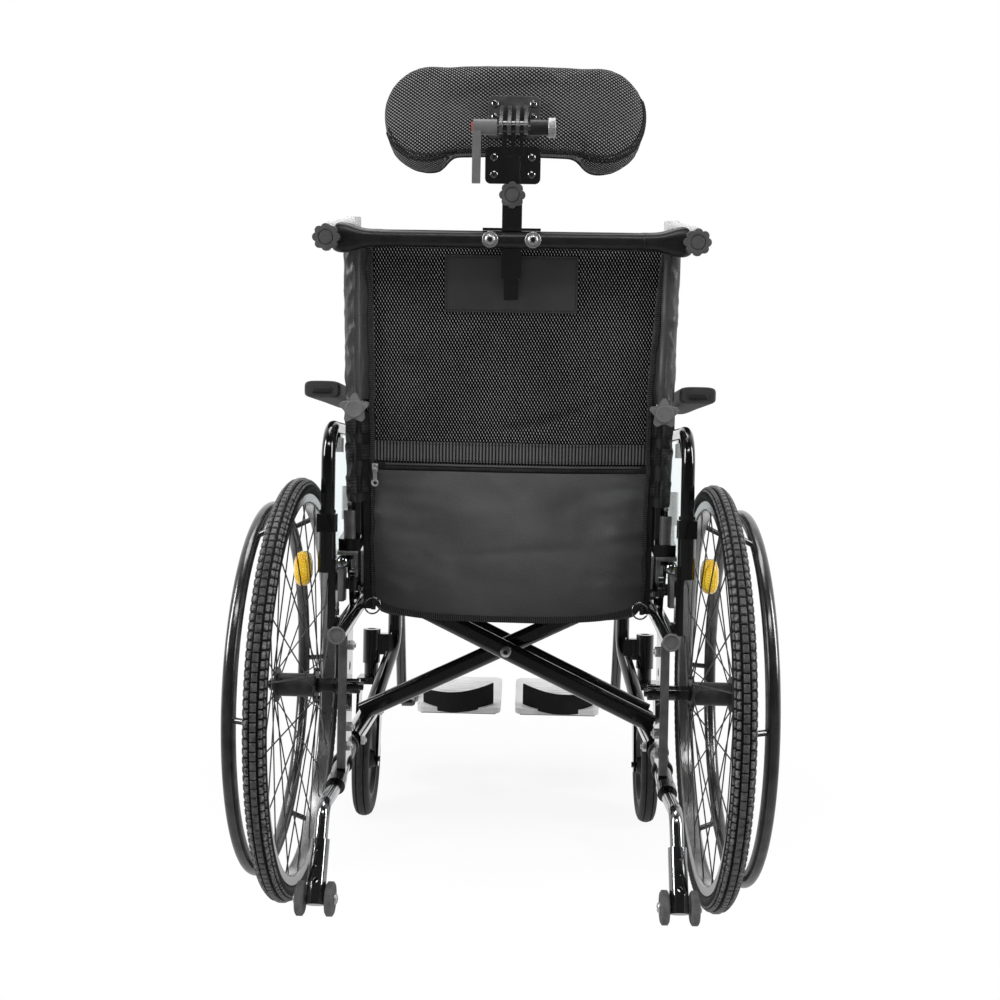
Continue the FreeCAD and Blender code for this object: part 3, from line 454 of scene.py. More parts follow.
KNOB_PLASTIC = moulded_plastic("knob_plastic", 0.12, 0.19)
SCALLOP_PLASTIC = moulded_plastic("scallop_plastic", 0.055, 0.1)
CAP_PLASTIC = moulded_plastic("cap_plastic", 0.09, 0.14)
LEVER_PLASTIC = moulded_plastic("lever_plastic", 0.10, 0.16)
RED_PLASTIC = moulded_plastic("red_plastic", (0.35, 0.012, 0.012), (0.5, 0.03, 0.02))
FOOT_PLASTIC = moulded_plastic("footplate_plastic", 0.74, 0.86)
NET_SHADES = ((0.0, 0.38), (0.1, 0.21), (0.19, 0.025), (0.26, 0.0))
PAD_SHADES = ((0.02, 0.34), (0.2, 0.13), (0.4, 0.04), (0.6, 0.006))
BACK_MESH = spacer_mesh("back_mesh", NET_SHADES, HEX, 0.004)
HEAD_MESH = spacer_mesh("headrest_mesh", PAD_SHADES, PAD_HEX, 0.00387)
# Middle and half sizes in metres of the pocket's area, towards whose edges painted shade darkens the pocket's
# colour
POCKET_PAINTED_SHADE = ((0.0, 0.0, 0.545), (0.25, 100.0, 0.16))
POCKET_NYLON = woven_nylon("pocket_nylon", 0.05, 0.11, crumple=0.012, painted_edge_shade=POCKET_PAINTED_SHADE)
SLEEVE_NYLON = woven_nylon("sleeve_nylon", 0.03, 0.075, gloss=(0.32, 0.46), shine=0.5, crumple=0.02)
DARK_NYLON = woven_nylon("dark_nylon", 0.008, 0.024, gloss=(0.4, 0.55), shine=0.3)
SEAT_NYLON = woven_nylon("seat_nylon", 0.015, 0.03)
GRIP = dotted_grip()
PATCH_CLOTH = woven_nylon("patch_cloth", 0.03, 0.055, 0.0016)
BAND = ribbed_webbing("band_webbing", 0.005, 0.12, 0.0051)
BINDING = ribbed_webbing("binding_tape", 0.006, 0.05, 0.003)
STRAP = ribbed_webbing("strap_webbing", 0.006, 0.06, 0.0022, (0, 1, 0))
HEEL_WEB = ribbed_webbing("heel_webbing", 0.004, 0.02, 0.0024, (0, 1, 0))
THREAD = woven_nylon("sewing_thread", 0.006, 0.016, 0.0004)
SKIN = soft_skin()
AMBER = reflector_amber()
GUARD = side_guard_plastic()

# Finishes of the carried-over solids: those on both sides, and the single ones
PAIR_FINISH = {
    "side_frame": POWDER, "back_cane": POWDER, "arm_frame": POWDER, "castor_fork": POWDER,
    "legrest_hanger": POWDER, "wheel_rim": RIM_METAL, "wheel_spokes": SPOKE_METAL, "wheel_hub": DARK_METAL,
    "handrim": HANDRIM_METAL, "castor_tyre": CASTOR_RUBBER, "castor_hub": BLACK_PLASTIC,
    "antitip_tube": CHROME, "antitip_leg": CHROME, "antitip_rollers": ROLLER_RUBBER,
    "release_lever": LEVER_PLASTIC, "star_knob": KNOB_PLASTIC, "push_bar_knob": SCALLOP_PLASTIC,
    "skirt_guard": GUARD, "brake_lever": GREY_METAL, "footplate": FOOT_PLASTIC,
}
SINGLE_FINISH = {
    "cross_brace_pair": POWDER, "cross_brace_single": POWDER, "headrest_bracket": POWDER,
    "headrest_stem": POWDER, "headrest_hinge": PLATE_METAL, "push_bar": BAR_SATIN,
    "stem_knob": SCALLOP_PLASTIC, "clamp_lever": LEVER_PLASTIC, "barrel_knob": BLACK_PLASTIC,
}


def paint(mesh, material):
    """Gives a mesh one finish in place of any that it has."""
    mesh.materials.clear()
    mesh.materials.append(material)


for node_name, material in SINGLE_FINISH.items():
    paint(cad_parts[node_name].data, material)
for node_name, material in PAIR_FINISH.items():
    for side_name, _ in SIDES:
        paint(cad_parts[side_name + "_" + node_name].data, material)


# Objects
def put(name, data):
    """A new object in the scene."""
    obj = bpy.data.objects.new(name, data)
    SCENE.collection.objects.link(obj)
    return obj


def taken(holder):
    """The mesh that an object's modifiers leave; the object itself goes."""
    graph = bpy.context.evaluated_depsgraph_get()
    mesh = bpy.data.meshes.new_from_object(holder.evaluated_get(graph))
    bpy.data.objects.remove(holder)
    return mesh


def link_object(name, mesh, material, crease=40):
    """Puts a mesh in the scene with smooth shading and creases at sharp edges."""
    paint(mesh, material)
    for face in mesh.polygons:
        face.use_smooth = True
    mesh.set_sharp_from_angle(angle=math.radians(crease))
    return put(name, mesh)


def piece(name, mesh, material, body, crease=40):
    """A piece that rides with a body."""
    obj = link_object(name, mesh, material, crease)
    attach(obj, body)
    return obj


# Mesh builders
def mesh_from(points, faces, edges=()):
    """A mesh of points in metres."""
    mesh = bpy.data.meshes.new("built")
    mesh.from_pydata([tuple(p) for p in points], edges, faces)
    mesh.update()
    return mesh


def mesh_of(work):
    """A mesh from editing work, which ends here."""
    mesh = bpy.data.meshes.new("worked")
    work.to_mesh(mesh)
    work.free()
    return mesh


def close_up(mesh):
    """Merges doubled points and turns faces outwards."""
    work = bmesh.new()
    work.from_mesh(mesh)
    bmesh.ops.remove_doubles(work, verts=work.verts, dist=1e-6)
    bmesh.ops.recalc_face_normals(work, faces=work.faces)
    work.to_mesh(mesh)
    work.free()


def join(*meshes):
    """One mesh from several."""
    work = bmesh.new()
    for mesh in meshes:
        work.from_mesh(mesh)
    return mesh_of(work)


def round_steps(count):
    """Cosine and sine of even steps round a circle."""
    turns = [2 * math.pi * i / count for i in range(count)]
    return [(math.cos(turn), math.sin(turn)) for turn in turns]


def circle(radius, count):
    """Outline of a round bar in millimetres."""
    return [(radius * c, radius * d) for c, d in round_steps(count)]


def squared_off(c, d, power):
    """How far a point of a circle moves out to make it squarer."""
    return 1 / (abs(c) ** power + abs(d) ** power) ** (1 / power)


def ring_faces(rows, count, closed=False):
    """Faces from ring to ring of count points each; a closed run comes back to its first ring."""
    faces = []
    for j in range(rows if closed else rows - 1):
        after = (j + 1) % rows
        for i in range(count):
            k = (i + 1) % count
            faces.append((j * count + i, j * count + k, after * count + k, after * count + i))
    return faces


def end_faces(rows, count):
    """One face over the first ring and one over the last."""
    return [tuple(range(count)), tuple((rows - 1) * count + i for i in range(count))]


def skinned(points, count, capped=False):
    """A skin over rings of count points each, with its ends covered where capped."""
    rows = len(points) // count
    faces = ring_faces(rows, count)
    if capped:
        faces += end_faces(rows, count)
    mesh = mesh_from(points, faces)
    close_up(mesh)
    return mesh


def lathe(profile, centre, axis, count):
    """Turns (along, radius) points in mm round an axis through centre; ends close at the axis."""
    axis = axis.normalized()
    side = axis.orthogonal().normalized()
    other = axis.cross(side)
    points = []
    for along, radius in profile:
        middle = centre + axis * (along / 1000)
        points += [middle + (side * c + other * d) * (radius / 1000) for c, d in round_steps(count)]
    return skinned(points, count)


def sweep(path, outline, up, closed=False):
    """A bar of the outline (mm) along a path of points (m), held upright by up."""
    count, ring = len(path), len(outline)
    points = []
    for i, here in enumerate(path):
        ahead = path[(i + 1) % count] if closed or i < count - 1 else here
        behind = path[i - 1] if closed or i > 0 else here
        tangent = (ahead - behind).normalized()
        side = tangent.cross(up).normalized()
        top = side.cross(tangent)
        points += [here + side * (a / 1000) + top * (b / 1000) for a, b in outline]
    faces = ring_faces(count, ring, closed)
    if not closed:
        faces += end_faces(count, ring)
    mesh = mesh_from(points, faces)
    lengths = [0.0]
    for a, b in zip(path, path[1:]):
        lengths.append(lengths[-1] + (b - a).length)
    uv = mesh.uv_layers.new(name="UVMap")
    for loop in mesh.loops:
        place, corner = divmod(loop.vertex_index, ring)
        uv.data[loop.index].uv = (lengths[place], outline[corner][1] / 1000)
    close_up(mesh)
    return mesh


def sheet_shell(surface, flat, steps, thick):
    """A cloth sheet of a thickness (mm) round surface(s, t), with its flat size (m) as UV."""
    cols, rows = steps
    grid = [[surface(i / cols, j / rows) for i in range(cols + 1)] for j in range(rows + 1)]
    half = thick / 2000
    layers = []
    for sign in (1, -1):
        for j in range(rows + 1):
            for i in range(cols + 1):
                along = grid[j][min(i + 1, cols)] - grid[j][max(i - 1, 0)]
                up = grid[min(j + 1, rows)][i] - grid[max(j - 1, 0)][i]
                layers.append(grid[j][i] + along.cross(up).normalized() * (half * sign))
    wide = cols + 1
    total = wide * (rows + 1)
    faces = []
    for j in range(rows):
        for i in range(cols):
            a = j * wide + i
            quad = (a, a + 1, a + wide + 1, a + wide)
            faces.append(quad)
            faces.append(tuple(total + k for k in reversed(quad)))
    border = list(range(wide))
    border += [j * wide + cols for j in range(1, rows + 1)]
    border += [rows * wide + i for i in range(cols - 1, -1, -1)]
    border += [j * wide for j in range(rows - 1, 0, -1)]
    for a, b in zip(border, border[1:] + border[:1]):
        faces.append((b, a, total + a, total + b))
    mesh = mesh_from(layers, faces)
    uv = mesh.uv_layers.new(name="UVMap")
    for loop in mesh.loops:
        row, col = divmod(loop.vertex_index % total, wide)
        uv.data[loop.index].uv = (col / cols * flat[0], row / rows * flat[1])
    return mesh


def block(low, high, bevel, place):
    """A box with rounded edges, in mm, put in the chair by place."""
    work = bmesh.new()
    bmesh.ops.create_cube(work, size=1.0)
    for vert in work.verts:
        vert.co = Vector([l + (h - l) * (c + 0.5) for l, h, c in zip(low, high, vert.co)])
    bmesh.ops.bevel(work, geom=work.edges[:], offset=bevel, segments=3, profile=0.5, affect="EDGES")
    for vert in work.verts:
        vert.co = place(*vert.co)
    bmesh.ops.recalc_face_normals(work, faces=work.faces)
    return mesh_of(work)


# Copies of small parts: Geometry Nodes put a shape on points, or along a path
def start_tree(name, *numbers):
    """A tree that takes a carrier, a shape, its finish and numbers by name, with its inputs and the shape."""
    nodes = Nodes(bpy.data.node_groups.new(name, "GeometryNodeTree"))
    kinds = [("Carrier", "Geometry"), ("Shape", "Object"), ("Finish", "Material")]
    kinds += [(number, "Float") for number in numbers]
    for label, kind in kinds:
        nodes.tree.interface.new_socket(label, in_out="INPUT", socket_type="NodeSocket" + kind)
    nodes.tree.interface.new_socket("Copies", in_out="OUTPUT", socket_type="NodeSocketGeometry")
    source = nodes.add("NodeGroupInput").outputs
    shape = nodes.add("GeometryNodeObjectInfo", {"Object": source["Shape"]})
    return nodes, source, shape.outputs["Geometry"]


def finish_tree(nodes, source, shape, points, rotation):
    """Ends a tree with real copies of the shape on the points, in their finish."""
    inputs = {"Points": points, "Instance": shape, "Rotation": rotation}
    copies = nodes.add("GeometryNodeInstanceOnPoints", inputs)
    real = nodes.add("GeometryNodeRealizeInstances", {"Geometry": copies.outputs["Instances"]})
    inputs = {"Geometry": real.outputs["Geometry"], "Material": source["Finish"]}
    painted = nodes.add("GeometryNodeSetMaterial", inputs)
    nodes.add("NodeGroupOutput", {"Copies": painted.outputs["Geometry"]})
    return nodes.tree


def points_tree():
    """Copies of a shape on points that carry a turn."""
    nodes, source, shape = start_tree("copies_on_points")
    turn = nodes.add("GeometryNodeInputNamedAttribute", {"Name": "turn"}, data_type="FLOAT_VECTOR")
    euler = nodes.add("FunctionNodeEulerToRotation", {"Euler": turn.outputs["Attribute"]})
    return finish_tree(nodes, source, shape, source["Carrier"], euler.outputs["Rotation"])


def path_tree():
    """Copies of a shape along a path at a pitch, each turned along the path."""
    nodes, source, shape = start_tree("copies_along_path", "Pitch")
    curve = nodes.add("GeometryNodeMeshToCurve", {"Mesh": source["Carrier"]})
    inputs = {"Curve": curve.outputs["Curve"], "Length": source["Pitch"]}
    spaced = nodes.add("GeometryNodeResampleCurve", inputs, mode="LENGTH")
    tangent = nodes.add("GeometryNodeInputTangent").outputs["Tangent"]
    align = nodes.add("FunctionNodeAlignRotationToVector", {"Vector": tangent}, axis="X")
    return finish_tree(nodes, source, shape, spaced.outputs["Curve"], align.outputs["Rotation"])


POINTS_TREE = points_tree()
PATH_TREE = path_tree()


def run_tree(tree, carrier, shape, material, **numbers):
    """Runs a tree on a carrier mesh and returns the copies as a plain mesh."""
    holder = put("carrier", carrier)
    stamp = put("stamp", shape)
    modifier = holder.modifiers.new("copies", "NODES")
    modifier.node_group = tree
    values = {"Shape": stamp, "Finish": material, **numbers}
    for item in tree.interface.items_tree:
        if item.name in values:
            modifier[item.identifier] = values[item.name]
    mesh = taken(holder)
    bpy.data.objects.remove(stamp)
    return mesh


def copies_on(shape, places, material):
    """Copies of a shape at (point, turn matrix) places."""
    carrier = mesh_from([point for point, _ in places], [])
    turns = carrier.attributes.new("turn", "FLOAT_VECTOR", "POINT")
    for entry, (_, turn) in zip(turns.data, places):
        entry.vector = turn.to_euler("XYZ")
    return run_tree(POINTS_TREE, carrier, shape, material)


def copies_along(shape, path, pitch, material):
    """Copies of a shape along a path of points (m) at a pitch (mm)."""
    carrier = mesh_from(path, [], [(i, i + 1) for i in range(len(path) - 1)])
    return run_tree(PATH_TREE, carrier, shape, material, Pitch=pitch / 1000)


def facing(direction):
    """A turn that takes +Z to the direction."""
    return direction.to_track_quat("Z", "Y").to_matrix()


def button_bolt(r):
    """Dome-headed bolt with an open socket, head up, of a radius in mm."""
    profile = [(0, 0), (0, r), (r * 0.28, r * 0.96), (r * 0.5, r * 0.78), (r * 0.58, r * 0.46)]
    profile += [(r * 0.3, r * 0.44), (r * 0.28, 0)]
    return lathe(profile, ORIGIN, UP, 24)


def bolt_socket(r):
    """The dark hexagon at the bottom of a bolt's socket."""
    return lathe([(r * 0.3, 0), (r * 0.3, r * 0.43), (r * 0.36, r * 0.4), (r * 0.36, 0)], ORIGIN, UP, 6)


def bolts(name, radius, places, body, material):
    """Bolts at the places, with their dark sockets as a piece of their own."""
    piece(name, copies_on(button_bolt(radius), places, material), material, body)
    sockets = copies_on(bolt_socket(radius), places, DARK_METAL)
    piece(name + "_sockets", sockets, DARK_METAL, body)


# Rear wheels
def tyre_casing(x):
    """Round-crowned casing that narrows to its beads in the rim."""
    half, bead = 15.0, 9.0
    turns = [i * math.pi / 20 for i in range(-11, 12)]
    crown = [(half * math.sin(a), TYRE_MID + 12.4 * math.cos(a)) for a in turns]
    near = [(-bead, 279.2), (-bead, 282.5), (-12, 284.5)]
    far = [(12, 284.5), (bead, 282.5), (bead, 279.2)]
    return lathe(near + crown + far + near[:1], spot(x, 0, AXLE_Z), AXLE, 160)


def tread_block(wide, long):
    """One tread block, narrower at the top, base at zero."""
    work = bmesh.new()
    bmesh.ops.create_cube(work, size=1.0)
    for vert in work.verts:
        taper = 0.8 if vert.co.z > 0 else 1.0
        x, y, z = vert.co
        vert.co = loose_spot(x * wide * taper, y * long * taper, (z + 0.5) * TREAD_TALL)
    bmesh.ops.bevel(work, geom=work.edges[:], offset=0.0005, segments=1, affect="EDGES")
    return mesh_of(work)


def tread_places(x, lean, shift):
    """A ring of places on the crown, leaned towards one shoulder."""
    along = 13.0 * math.sin(lean)
    reach = TYRE_MID + 12.0 * math.cos(lean)
    places = []
    for i in range(TREAD_COUNT):
        turn = 2 * math.pi * (i + shift) / TREAD_COUNT
        spin = Matrix.Rotation(-turn, 3, "X") @ Matrix.Rotation(lean, 3, "Y")
        point = spot(x + along, reach * math.sin(turn), AXLE_Z + reach * math.cos(turn))
        places.append((point, spin))
    return places


def rear_wheel(side, s):
    """Tyre casing, its middle rib and two rows of blocks on each shoulder."""
    body = side + "_wheel"
    x = s * WHEEL_X
    casing = piece(side + "_tyre_casing", tyre_casing(x), TYRE, body)
    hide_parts(side + "_wheel_tyre")
    rib = copies_on(tread_block(8.0, 11.3), tread_places(x, 0.0, 0.0), RIB_RUBBER)
    piece(side + "_tyre_rib", rib, RIB_RUBBER, body, 30)
    rows = []
    for wide, lean, shift in ((5.4, 0.68, 0.3), (3.2, 1.07, 0.42)):
        for turn in (-lean, lean):
            rows.append(copies_on(tread_block(wide, 10.0), tread_places(x, turn, shift), TREAD))
    piece(side + "_tyre_tread", join(*rows), TREAD, body, 30)


def reflector(side, s):
    """Thick amber lens held between the spokes, bulged on both faces."""
    count = 40
    outline = []
    for c, d in round_steps(count):
        corner = squared_off(c, d, 2.8)
        outline.append((21 * c * corner, 26 * d * corner))
    half = ((4, 0.99), (9.0, 0.86), (12.2, 0.5), (13.5, 0.0))
    points = []
    for along, share in [(-along, share) for along, share in reversed(half)] + list(half):
        x = s * WHEEL_X + along
        points += [spot(x, 24 + a * share, AXLE_Z + 170 + b * share) for a, b in outline]
    piece(side + "_reflector", skinned(points, count), AMBER, side + "_wheel")


# Back upholstery
def panel_sag(u):
    """How far the cloth hangs back in the middle at a height up the cane."""
    levels = ((-60, 15.0), (-5, 14.0), (150, 12.0), (330, 5.0), (540, 1.5))
    for (low, a), (high, b) in zip(levels, levels[1:]):
        if u <= high:
            return a + (b - a) * max(u - low, 0) / (high - low)
    return levels[-1][1]


def edge_x(s, u):
    """Where the cloth's bound edge runs: nearly upright on the left, leaning out at the top right."""
    rise = max((u - 300) / 220, 0.0)
    if s > 0:
        return 213 + 14 * rise ** 1.3
    return 209 + 3 * rise


def panel_rear(x, u, off=0.0):
    """The cloth's rear face, in the back's own frame, off mm further back."""
    share = min(abs(x) / 219.0, 1.0)
    drape = 4.6 * ripple(x / 120 + u / 300, u / 75, 3.0) + 1.4 * ripple(x / 45, u / 28, 8.0)
    line = 246 + 0.0016 * (x + 30) ** 2
    fold = 6.0 * math.exp(-(((u - line) / 8) ** 2)) * max(1 - abs(x - 60) / 140, 0.0)
    slack = 2.4 * math.sin(u / 17 + x / 60) * max(share - 0.4, 0)
    return 0.6 - panel_sag(u) * (1 - share ** 2) - (drape + slack - fold) * (1 - share ** 6) - off


def back_piece(name, mesh, material):
    """Cloth on the back rides with it and has a mesh of its own."""
    obj = piece(name, mesh, material, "right_back")
    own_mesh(obj)
    return obj


def back_cloth(name, half, low, high, off, steps, thick, material):
    """A patch of cloth on the back, up the cane from low to high; without half it meets the bound edges."""
    flat = (2 * (half or edge_x(1, low)) / 1000, (high - low) / 1000)

    def surface(s, t):
        u = low + (high - low) * t
        x = half * (2 * s - 1) if half else -edge_x(-1, u) * (1 - s) + edge_x(1, u) * s
        return cane_spot(x, panel_rear(x, u, off), u)

    return back_piece(name, sheet_shell(surface, flat, steps, thick), material), flat


def back_panel():
    """Mesh panel from cane to cane."""
    panel, flat = back_cloth("back_panel", PANEL_HALF, -6, PANEL_TOP, -4, (90, 120), 6.0, BACK_MESH)
    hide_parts("back_upholstery")


def band_and_patch():
    """Webbing band above the zip, and the bare sewn patch near the top."""
    band, flat = back_cloth("webbing_band", None, BAND_LOW, BAND_HIGH, 1.2, (90, 6), 2.2, BAND)
    patch, flat = back_cloth("bare_patch", PATCH_HALF, PATCH_LOW, PATCH_HIGH, 0.9, (40, 16), 1.6, PATCH_CLOTH)


def back_path(points, off):
    """A finely stepped path over the back's rear face through (x, u) points."""
    places = []
    for (xa, ua), (xb, ub) in zip(points, points[1:]):
        steps = max(int(math.hypot(xb - xa, ub - ua) / 6), 2)
        places += [(xa + (xb - xa) * i / steps, ua + (ub - ua) * i / steps) for i in range(steps)]
    places.append(points[-1])
    return [cane_spot(x, panel_rear(x, u, off), u) for x, u in places]


def side_bindings():
    """Bound edges that stand up beside each cane, a little wavy."""
    outline = [(-3.2, -3), (3.2, -3), (3.8, 0.8), (2.2, 3.4), (-2.2, 3.4), (-3.8, 0.8)]
    for side, s in SIDES:
        path = []
        for i in range(120):
            u = EDGE_LOW + (PANEL_TOP - 8 - EDGE_LOW) * i / 119
            x = s * (edge_x(s, u) + 2.6 * ripple(u / 42, s * 5.0) + 1.2 * ripple(u / 15, s * 2.0))
            path.append(cane_spot(x, panel_rear(x, u, 4.0 + 1.6 * ripple(u / 28, s * 9.0)), u))
        back_piece(side + "_edge_binding", sweep(path, outline, REAR), BINDING)


def side_strips():
    """Dark cloth from the pocket's sides out to the canes."""
    flat = (0.018, STRIP_TALL / 1000)
    for side, s in SIDES:
        def surface(a, b):
            u = EDGE_LOW + STRIP_TALL * b
            x = s * (edge_x(s, u) - 3 + (227 - edge_x(s, u)) * a)
            return cane_spot(x, panel_rear(x, u, 3.2) + 1.4 * ripple(a * 2, u / 18, s), u)

        mesh = sheet_shell(surface, flat, (8, 70), 1.6)
        strip = back_piece(side + "_side_strip", mesh, DARK_NYLON)


def pocket_edge(s, u):
    """The pocket's side at a height, rounding in at the lower corners."""
    share = min(max((u - POCKET_LOW) / 26, 0.0), 1.0)
    return edge_x(s, u) - 2 - 24 * (1 - math.sqrt(1 - (1 - share) ** 2))


def pocket_rear(s, u):
    """Bulge of the pocket behind the panel, with slack folds at its sides."""
    x = s * pocket_edge(s, u)
    share = (u - POCKET_LOW) / (ZIP_U - POCKET_LOW)
    full = math.sin(math.pi * min(share * 0.9 + 0.06, 1.0)) ** 0.6
    bulge = 3.5 + 13.0 * full * (1 - abs(s) ** 4)
    edge = max(abs(s) - 0.45, 0) / 0.55
    folds = 9.0 * edge * (1 - edge * 0.6) * ripple(s * 2.2, u / 17, 2.0)
    ridge = 0.25 - abs(ripple(x / 80 + u / 130, u / 60, 5.0))
    soft = 7.0 * ridge + 1.4 * ripple(x / 34, u / 26, 1.0)
    crease = 3.0 * math.exp(-(((u - 62 - 14 * s) / 7) ** 2)) * max(1 - abs(s), 0)
    return x, panel_rear(x, max(u, -5), bulge + (folds + soft - crease) * min(share * 4, 1))


def pocket():
    """Loose pocket that hangs from the zip."""
    low, high = POCKET_LOW, ZIP_U - 4
    flat = (0.45, (high - low) / 1000 * 1.06)

    def surface(s, t):
        u = low + (high - low) * t
        drop = POCKET_DROP * (1 - (2 * s - 1) ** 2) * (1 - t) ** 2
        x, v = pocket_rear(2 * s - 1, u)
        return cane_spot(x, v, u - drop)

    mesh = sheet_shell(surface, flat, (110, 64), 2.0)
    cloth = back_piece("back_pocket_cloth", mesh, POCKET_NYLON)
    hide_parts("back_pocket")


def pocket_hem():
    """Bound lower edge of the pocket."""
    path = []
    for i in range(81):
        s = -1 + 2 * i / 80
        u = POCKET_LOW + 4 + 16 * abs(s) ** 8
        x, v = pocket_rear(s, u)
        path.append(cane_spot(x, v - 1.2, u - POCKET_DROP * (1 - s ** 2)))
    outline = [(-1.4, -5), (1.4, -5), (1.9, 0), (1.4, 5), (-1.4, 5), (-1.9, 0)]
    back_piece("pocket_hem", sweep(path, outline, UP_CANE), BINDING)


def zip_fastener():
    """Zip across the top of the pocket: tape, teeth and a fold on either side."""
    back_cloth("zip_tape", None, ZIP_U - 8, ZIP_U + 8, 2.6, (80, 6), 1.6, DARK_NYLON)
    path = back_path([(SEWN_FROM, ZIP_U), (200, ZIP_U)], 4.0)
    tooth = block((-0.5, -0.8, -2.4), (0.5, 0.8, 2.4), 0.2, loose_spot)
    back_piece("zip_teeth", copies_along(tooth, path, 2.0, DARK_METAL), DARK_METAL)
    for lift in (-5.6, 5.6):
        edge = back_path([(SEWN_FROM, ZIP_U + lift), (202, ZIP_U + lift)], 4.2)
        back_piece("zip_fold", sweep(edge, circle(1.6, 8), UP_CANE), POCKET_NYLON)


def zip_pull():
    """Slider at the zip's left end, with its stem and two rings."""
    base = panel_rear(ZIP_PULL_X, ZIP_U, 5.0)

    def place(x, v, u):
        return cane_spot(ZIP_PULL_X + x, base - v, ZIP_U + u)

    slider = block((-4.5, 0, -7), (4.5, 5, 6), 1.4, place)
    stem = block((-3.2, 4.4, -22), (3.2, 6.6, 2), 1.0, place)
    parts = [slider, stem]
    for centre, radius in ((2.0, 3.4), (-24.0, 4.2)):
        ring = [place(radius * d, 5.6, centre + radius * c) for c, d in round_steps(24)]
        parts.append(sweep(ring, circle(1.5, 8), REAR, closed=True))
    back_piece("zip_pull", join(*parts), BOLT_STEEL)


def stitching():
    """Rows of raised stitches on the band, the patch and the panel's sides."""
    rows = [back_path([(SEWN_FROM, u), (206, u)], 2.6) for u in (BAND_LOW + 3, BAND_HIGH - 3)]
    low, high, half = PATCH_LOW + 3, PATCH_HIGH - 3, PATCH_HALF - 3
    rows.append(back_path([(-half, low), (half, low), (half, high), (-half, high), (-half, low)], 2.0))
    rows += [back_path([(s * 203, 232), (s * 203, 528)], 0.6) for s in (-1, 1)]
    stitch = lathe([(-1.5, 0), (-1.2, 0.35), (0, 0.45), (1.2, 0.35), (1.5, 0)], ORIGIN, AXLE, 6)
    sewn = [copies_along(stitch, row, 4.6, THREAD) for row in rows]
    back_piece("back_stitches", join(*sewn), THREAD)


def sleeve_mesh(s, low, high, radius, seed, steps=(36, 90)):
    """A cloth tube round a cane and in to the panel's edge, creased where it is drawn tight."""
    around, rows = steps
    points = []
    for j in range(rows + 1):
        u = low + (high - low) * j / rows
        drawn = max(1 - min(u - low, high - u) / 8, 0) ** 2
        for c, d in round_steps(around):
            ridge = 0.28 - abs(ripple(0.9 * c + 0.4 * d, u / 30 + 0.35 * c, seed))
            crease = (7.0 * ridge + 2.0 * ripple(d, u / 50, seed + 4)) * (0.12 + 0.88 * max(-d, 0) ** 0.5)
            wide = radius + crease - 1.5 * drawn
            inward = (CANE_X - edge_x(s, u) - radius + 5) * max(-c, 0)
            hollow = 1 - 0.96 * max(-c, 0) ** 0.5
            points.append(cane_spot(s * (CANE_X + wide * c - inward), wide * d * hollow, u))
    for u in (low, high):
        points += [cane_spot(s * CANE_X + s * a, b, u) for a, b in circle(12.8, around)]
    faces = ring_faces(rows + 1, around)
    lip = (rows + 1) * around
    for i in range(around):
        k = (i + 1) % around
        faces.append((k, i, lip + i, lip + k))
        faces.append((rows * around + i, rows * around + k, lip + around + k, lip + around + i))
        faces.append((lip + i, lip + around + i, lip + around + k, lip + k))
    mesh = mesh_from(points, faces)
    close_up(mesh)
    uv = mesh.uv_layers.new(name="UVMap")
    for loop in mesh.loops:
        co = mesh.vertices[loop.vertex_index].co
        uv.data[loop.index].uv = (math.atan2(co.y, co.x - s * CANE_X / 1000) * radius / 1000, co.z)
    return mesh


def cane_hood(s):
    """Thin pale cap over the top of a cane."""
    profile = [(0, 11.1), (0, 11.5), (43, 11.5), (44.6, 10.4), (45.4, 5), (45.6, 0)]
    return lathe(profile, cane_spot(s * CANE_X, 0, CANE_TOP - 42), UP_CANE, 40)


def handle_barrel(s):
    """Pale clamp barrel from behind a cane's top out to the bar's knob."""
    start = cane_spot(s * (CANE_X - 2), -17, CANE_TOP - 9)
    end = cane_spot(s * 268, -33, PUSH_BAR_U + 9)
    run = (end - start).length * 1000
    side = [(-7, 0), (-6, 6), (-3, 10.4), (0, 12), (run - 4, 13), (run, 11), (run, 0)]
    return lathe(side, start, end - start, 40)


def cane_sleeves():
    """Cloth sleeve, wrap and hook straps round each cane, with the pale pieces at its top."""
    for side, s in SIDES:
        body = side + "_back"
        sleeve = sleeve_mesh(s, SLEEVE_LOW, PUSH_BAR_U - 8, 14.2, s * 3.0)
        piece(side + "_cane_sleeve", sleeve, SLEEVE_NYLON, body)
        wrap = sleeve_mesh(s, WRAP_LOW, WRAP_HIGH, 14.0, s * 7.0)
        piece(side + "_cane_wrap", wrap, DARK_NYLON, body)
        bands = [sleeve_mesh(s, low, low + STRAP_WIDE, 15.2, low, (36, 12)) for low in STRAPS_LOW]
        piece(side + "_cane_straps", join(*bands), STRAP, body)
        piece(side + "_cane_hood", cane_hood(s), GRIP, body)
        piece(side + "_handle_barrel", handle_barrel(s), GRIP, "right_back")


def knob_dishes():
    """Raised ring round the hollow face of each star knob."""
    ring = [(-0.4, 13.6), (1.4, 13.2), (2.2, 11.8), (1.6, 10.0), (0.9, 6.0), (0.7, 0)]
    for side, s in SIDES:
        mesh = lathe(ring, cane_spot(s * (CANE_X - 3.5), -39.5, STAR_KNOB_U), REAR, 40)
        piece(side + "_knob_dish", mesh, KNOB_PLASTIC, side + "_cane_knob")


def split_rings():
    """Bright split rings through the pocket's lower corners."""
    for side, s in SIDES:
        path = []
        for i in range(36):
            turn = 2 * math.pi * i / 35 * 0.94
            c, d = math.cos(turn), math.sin(turn)
            path.append(cane_spot(s * (208 + 12 * c), -20 + 4 * d, -30 + 12 * d))
        piece(side + "_split_ring", sweep(path, circle(1.4, 10), REAR), CHROME, side + "_back")


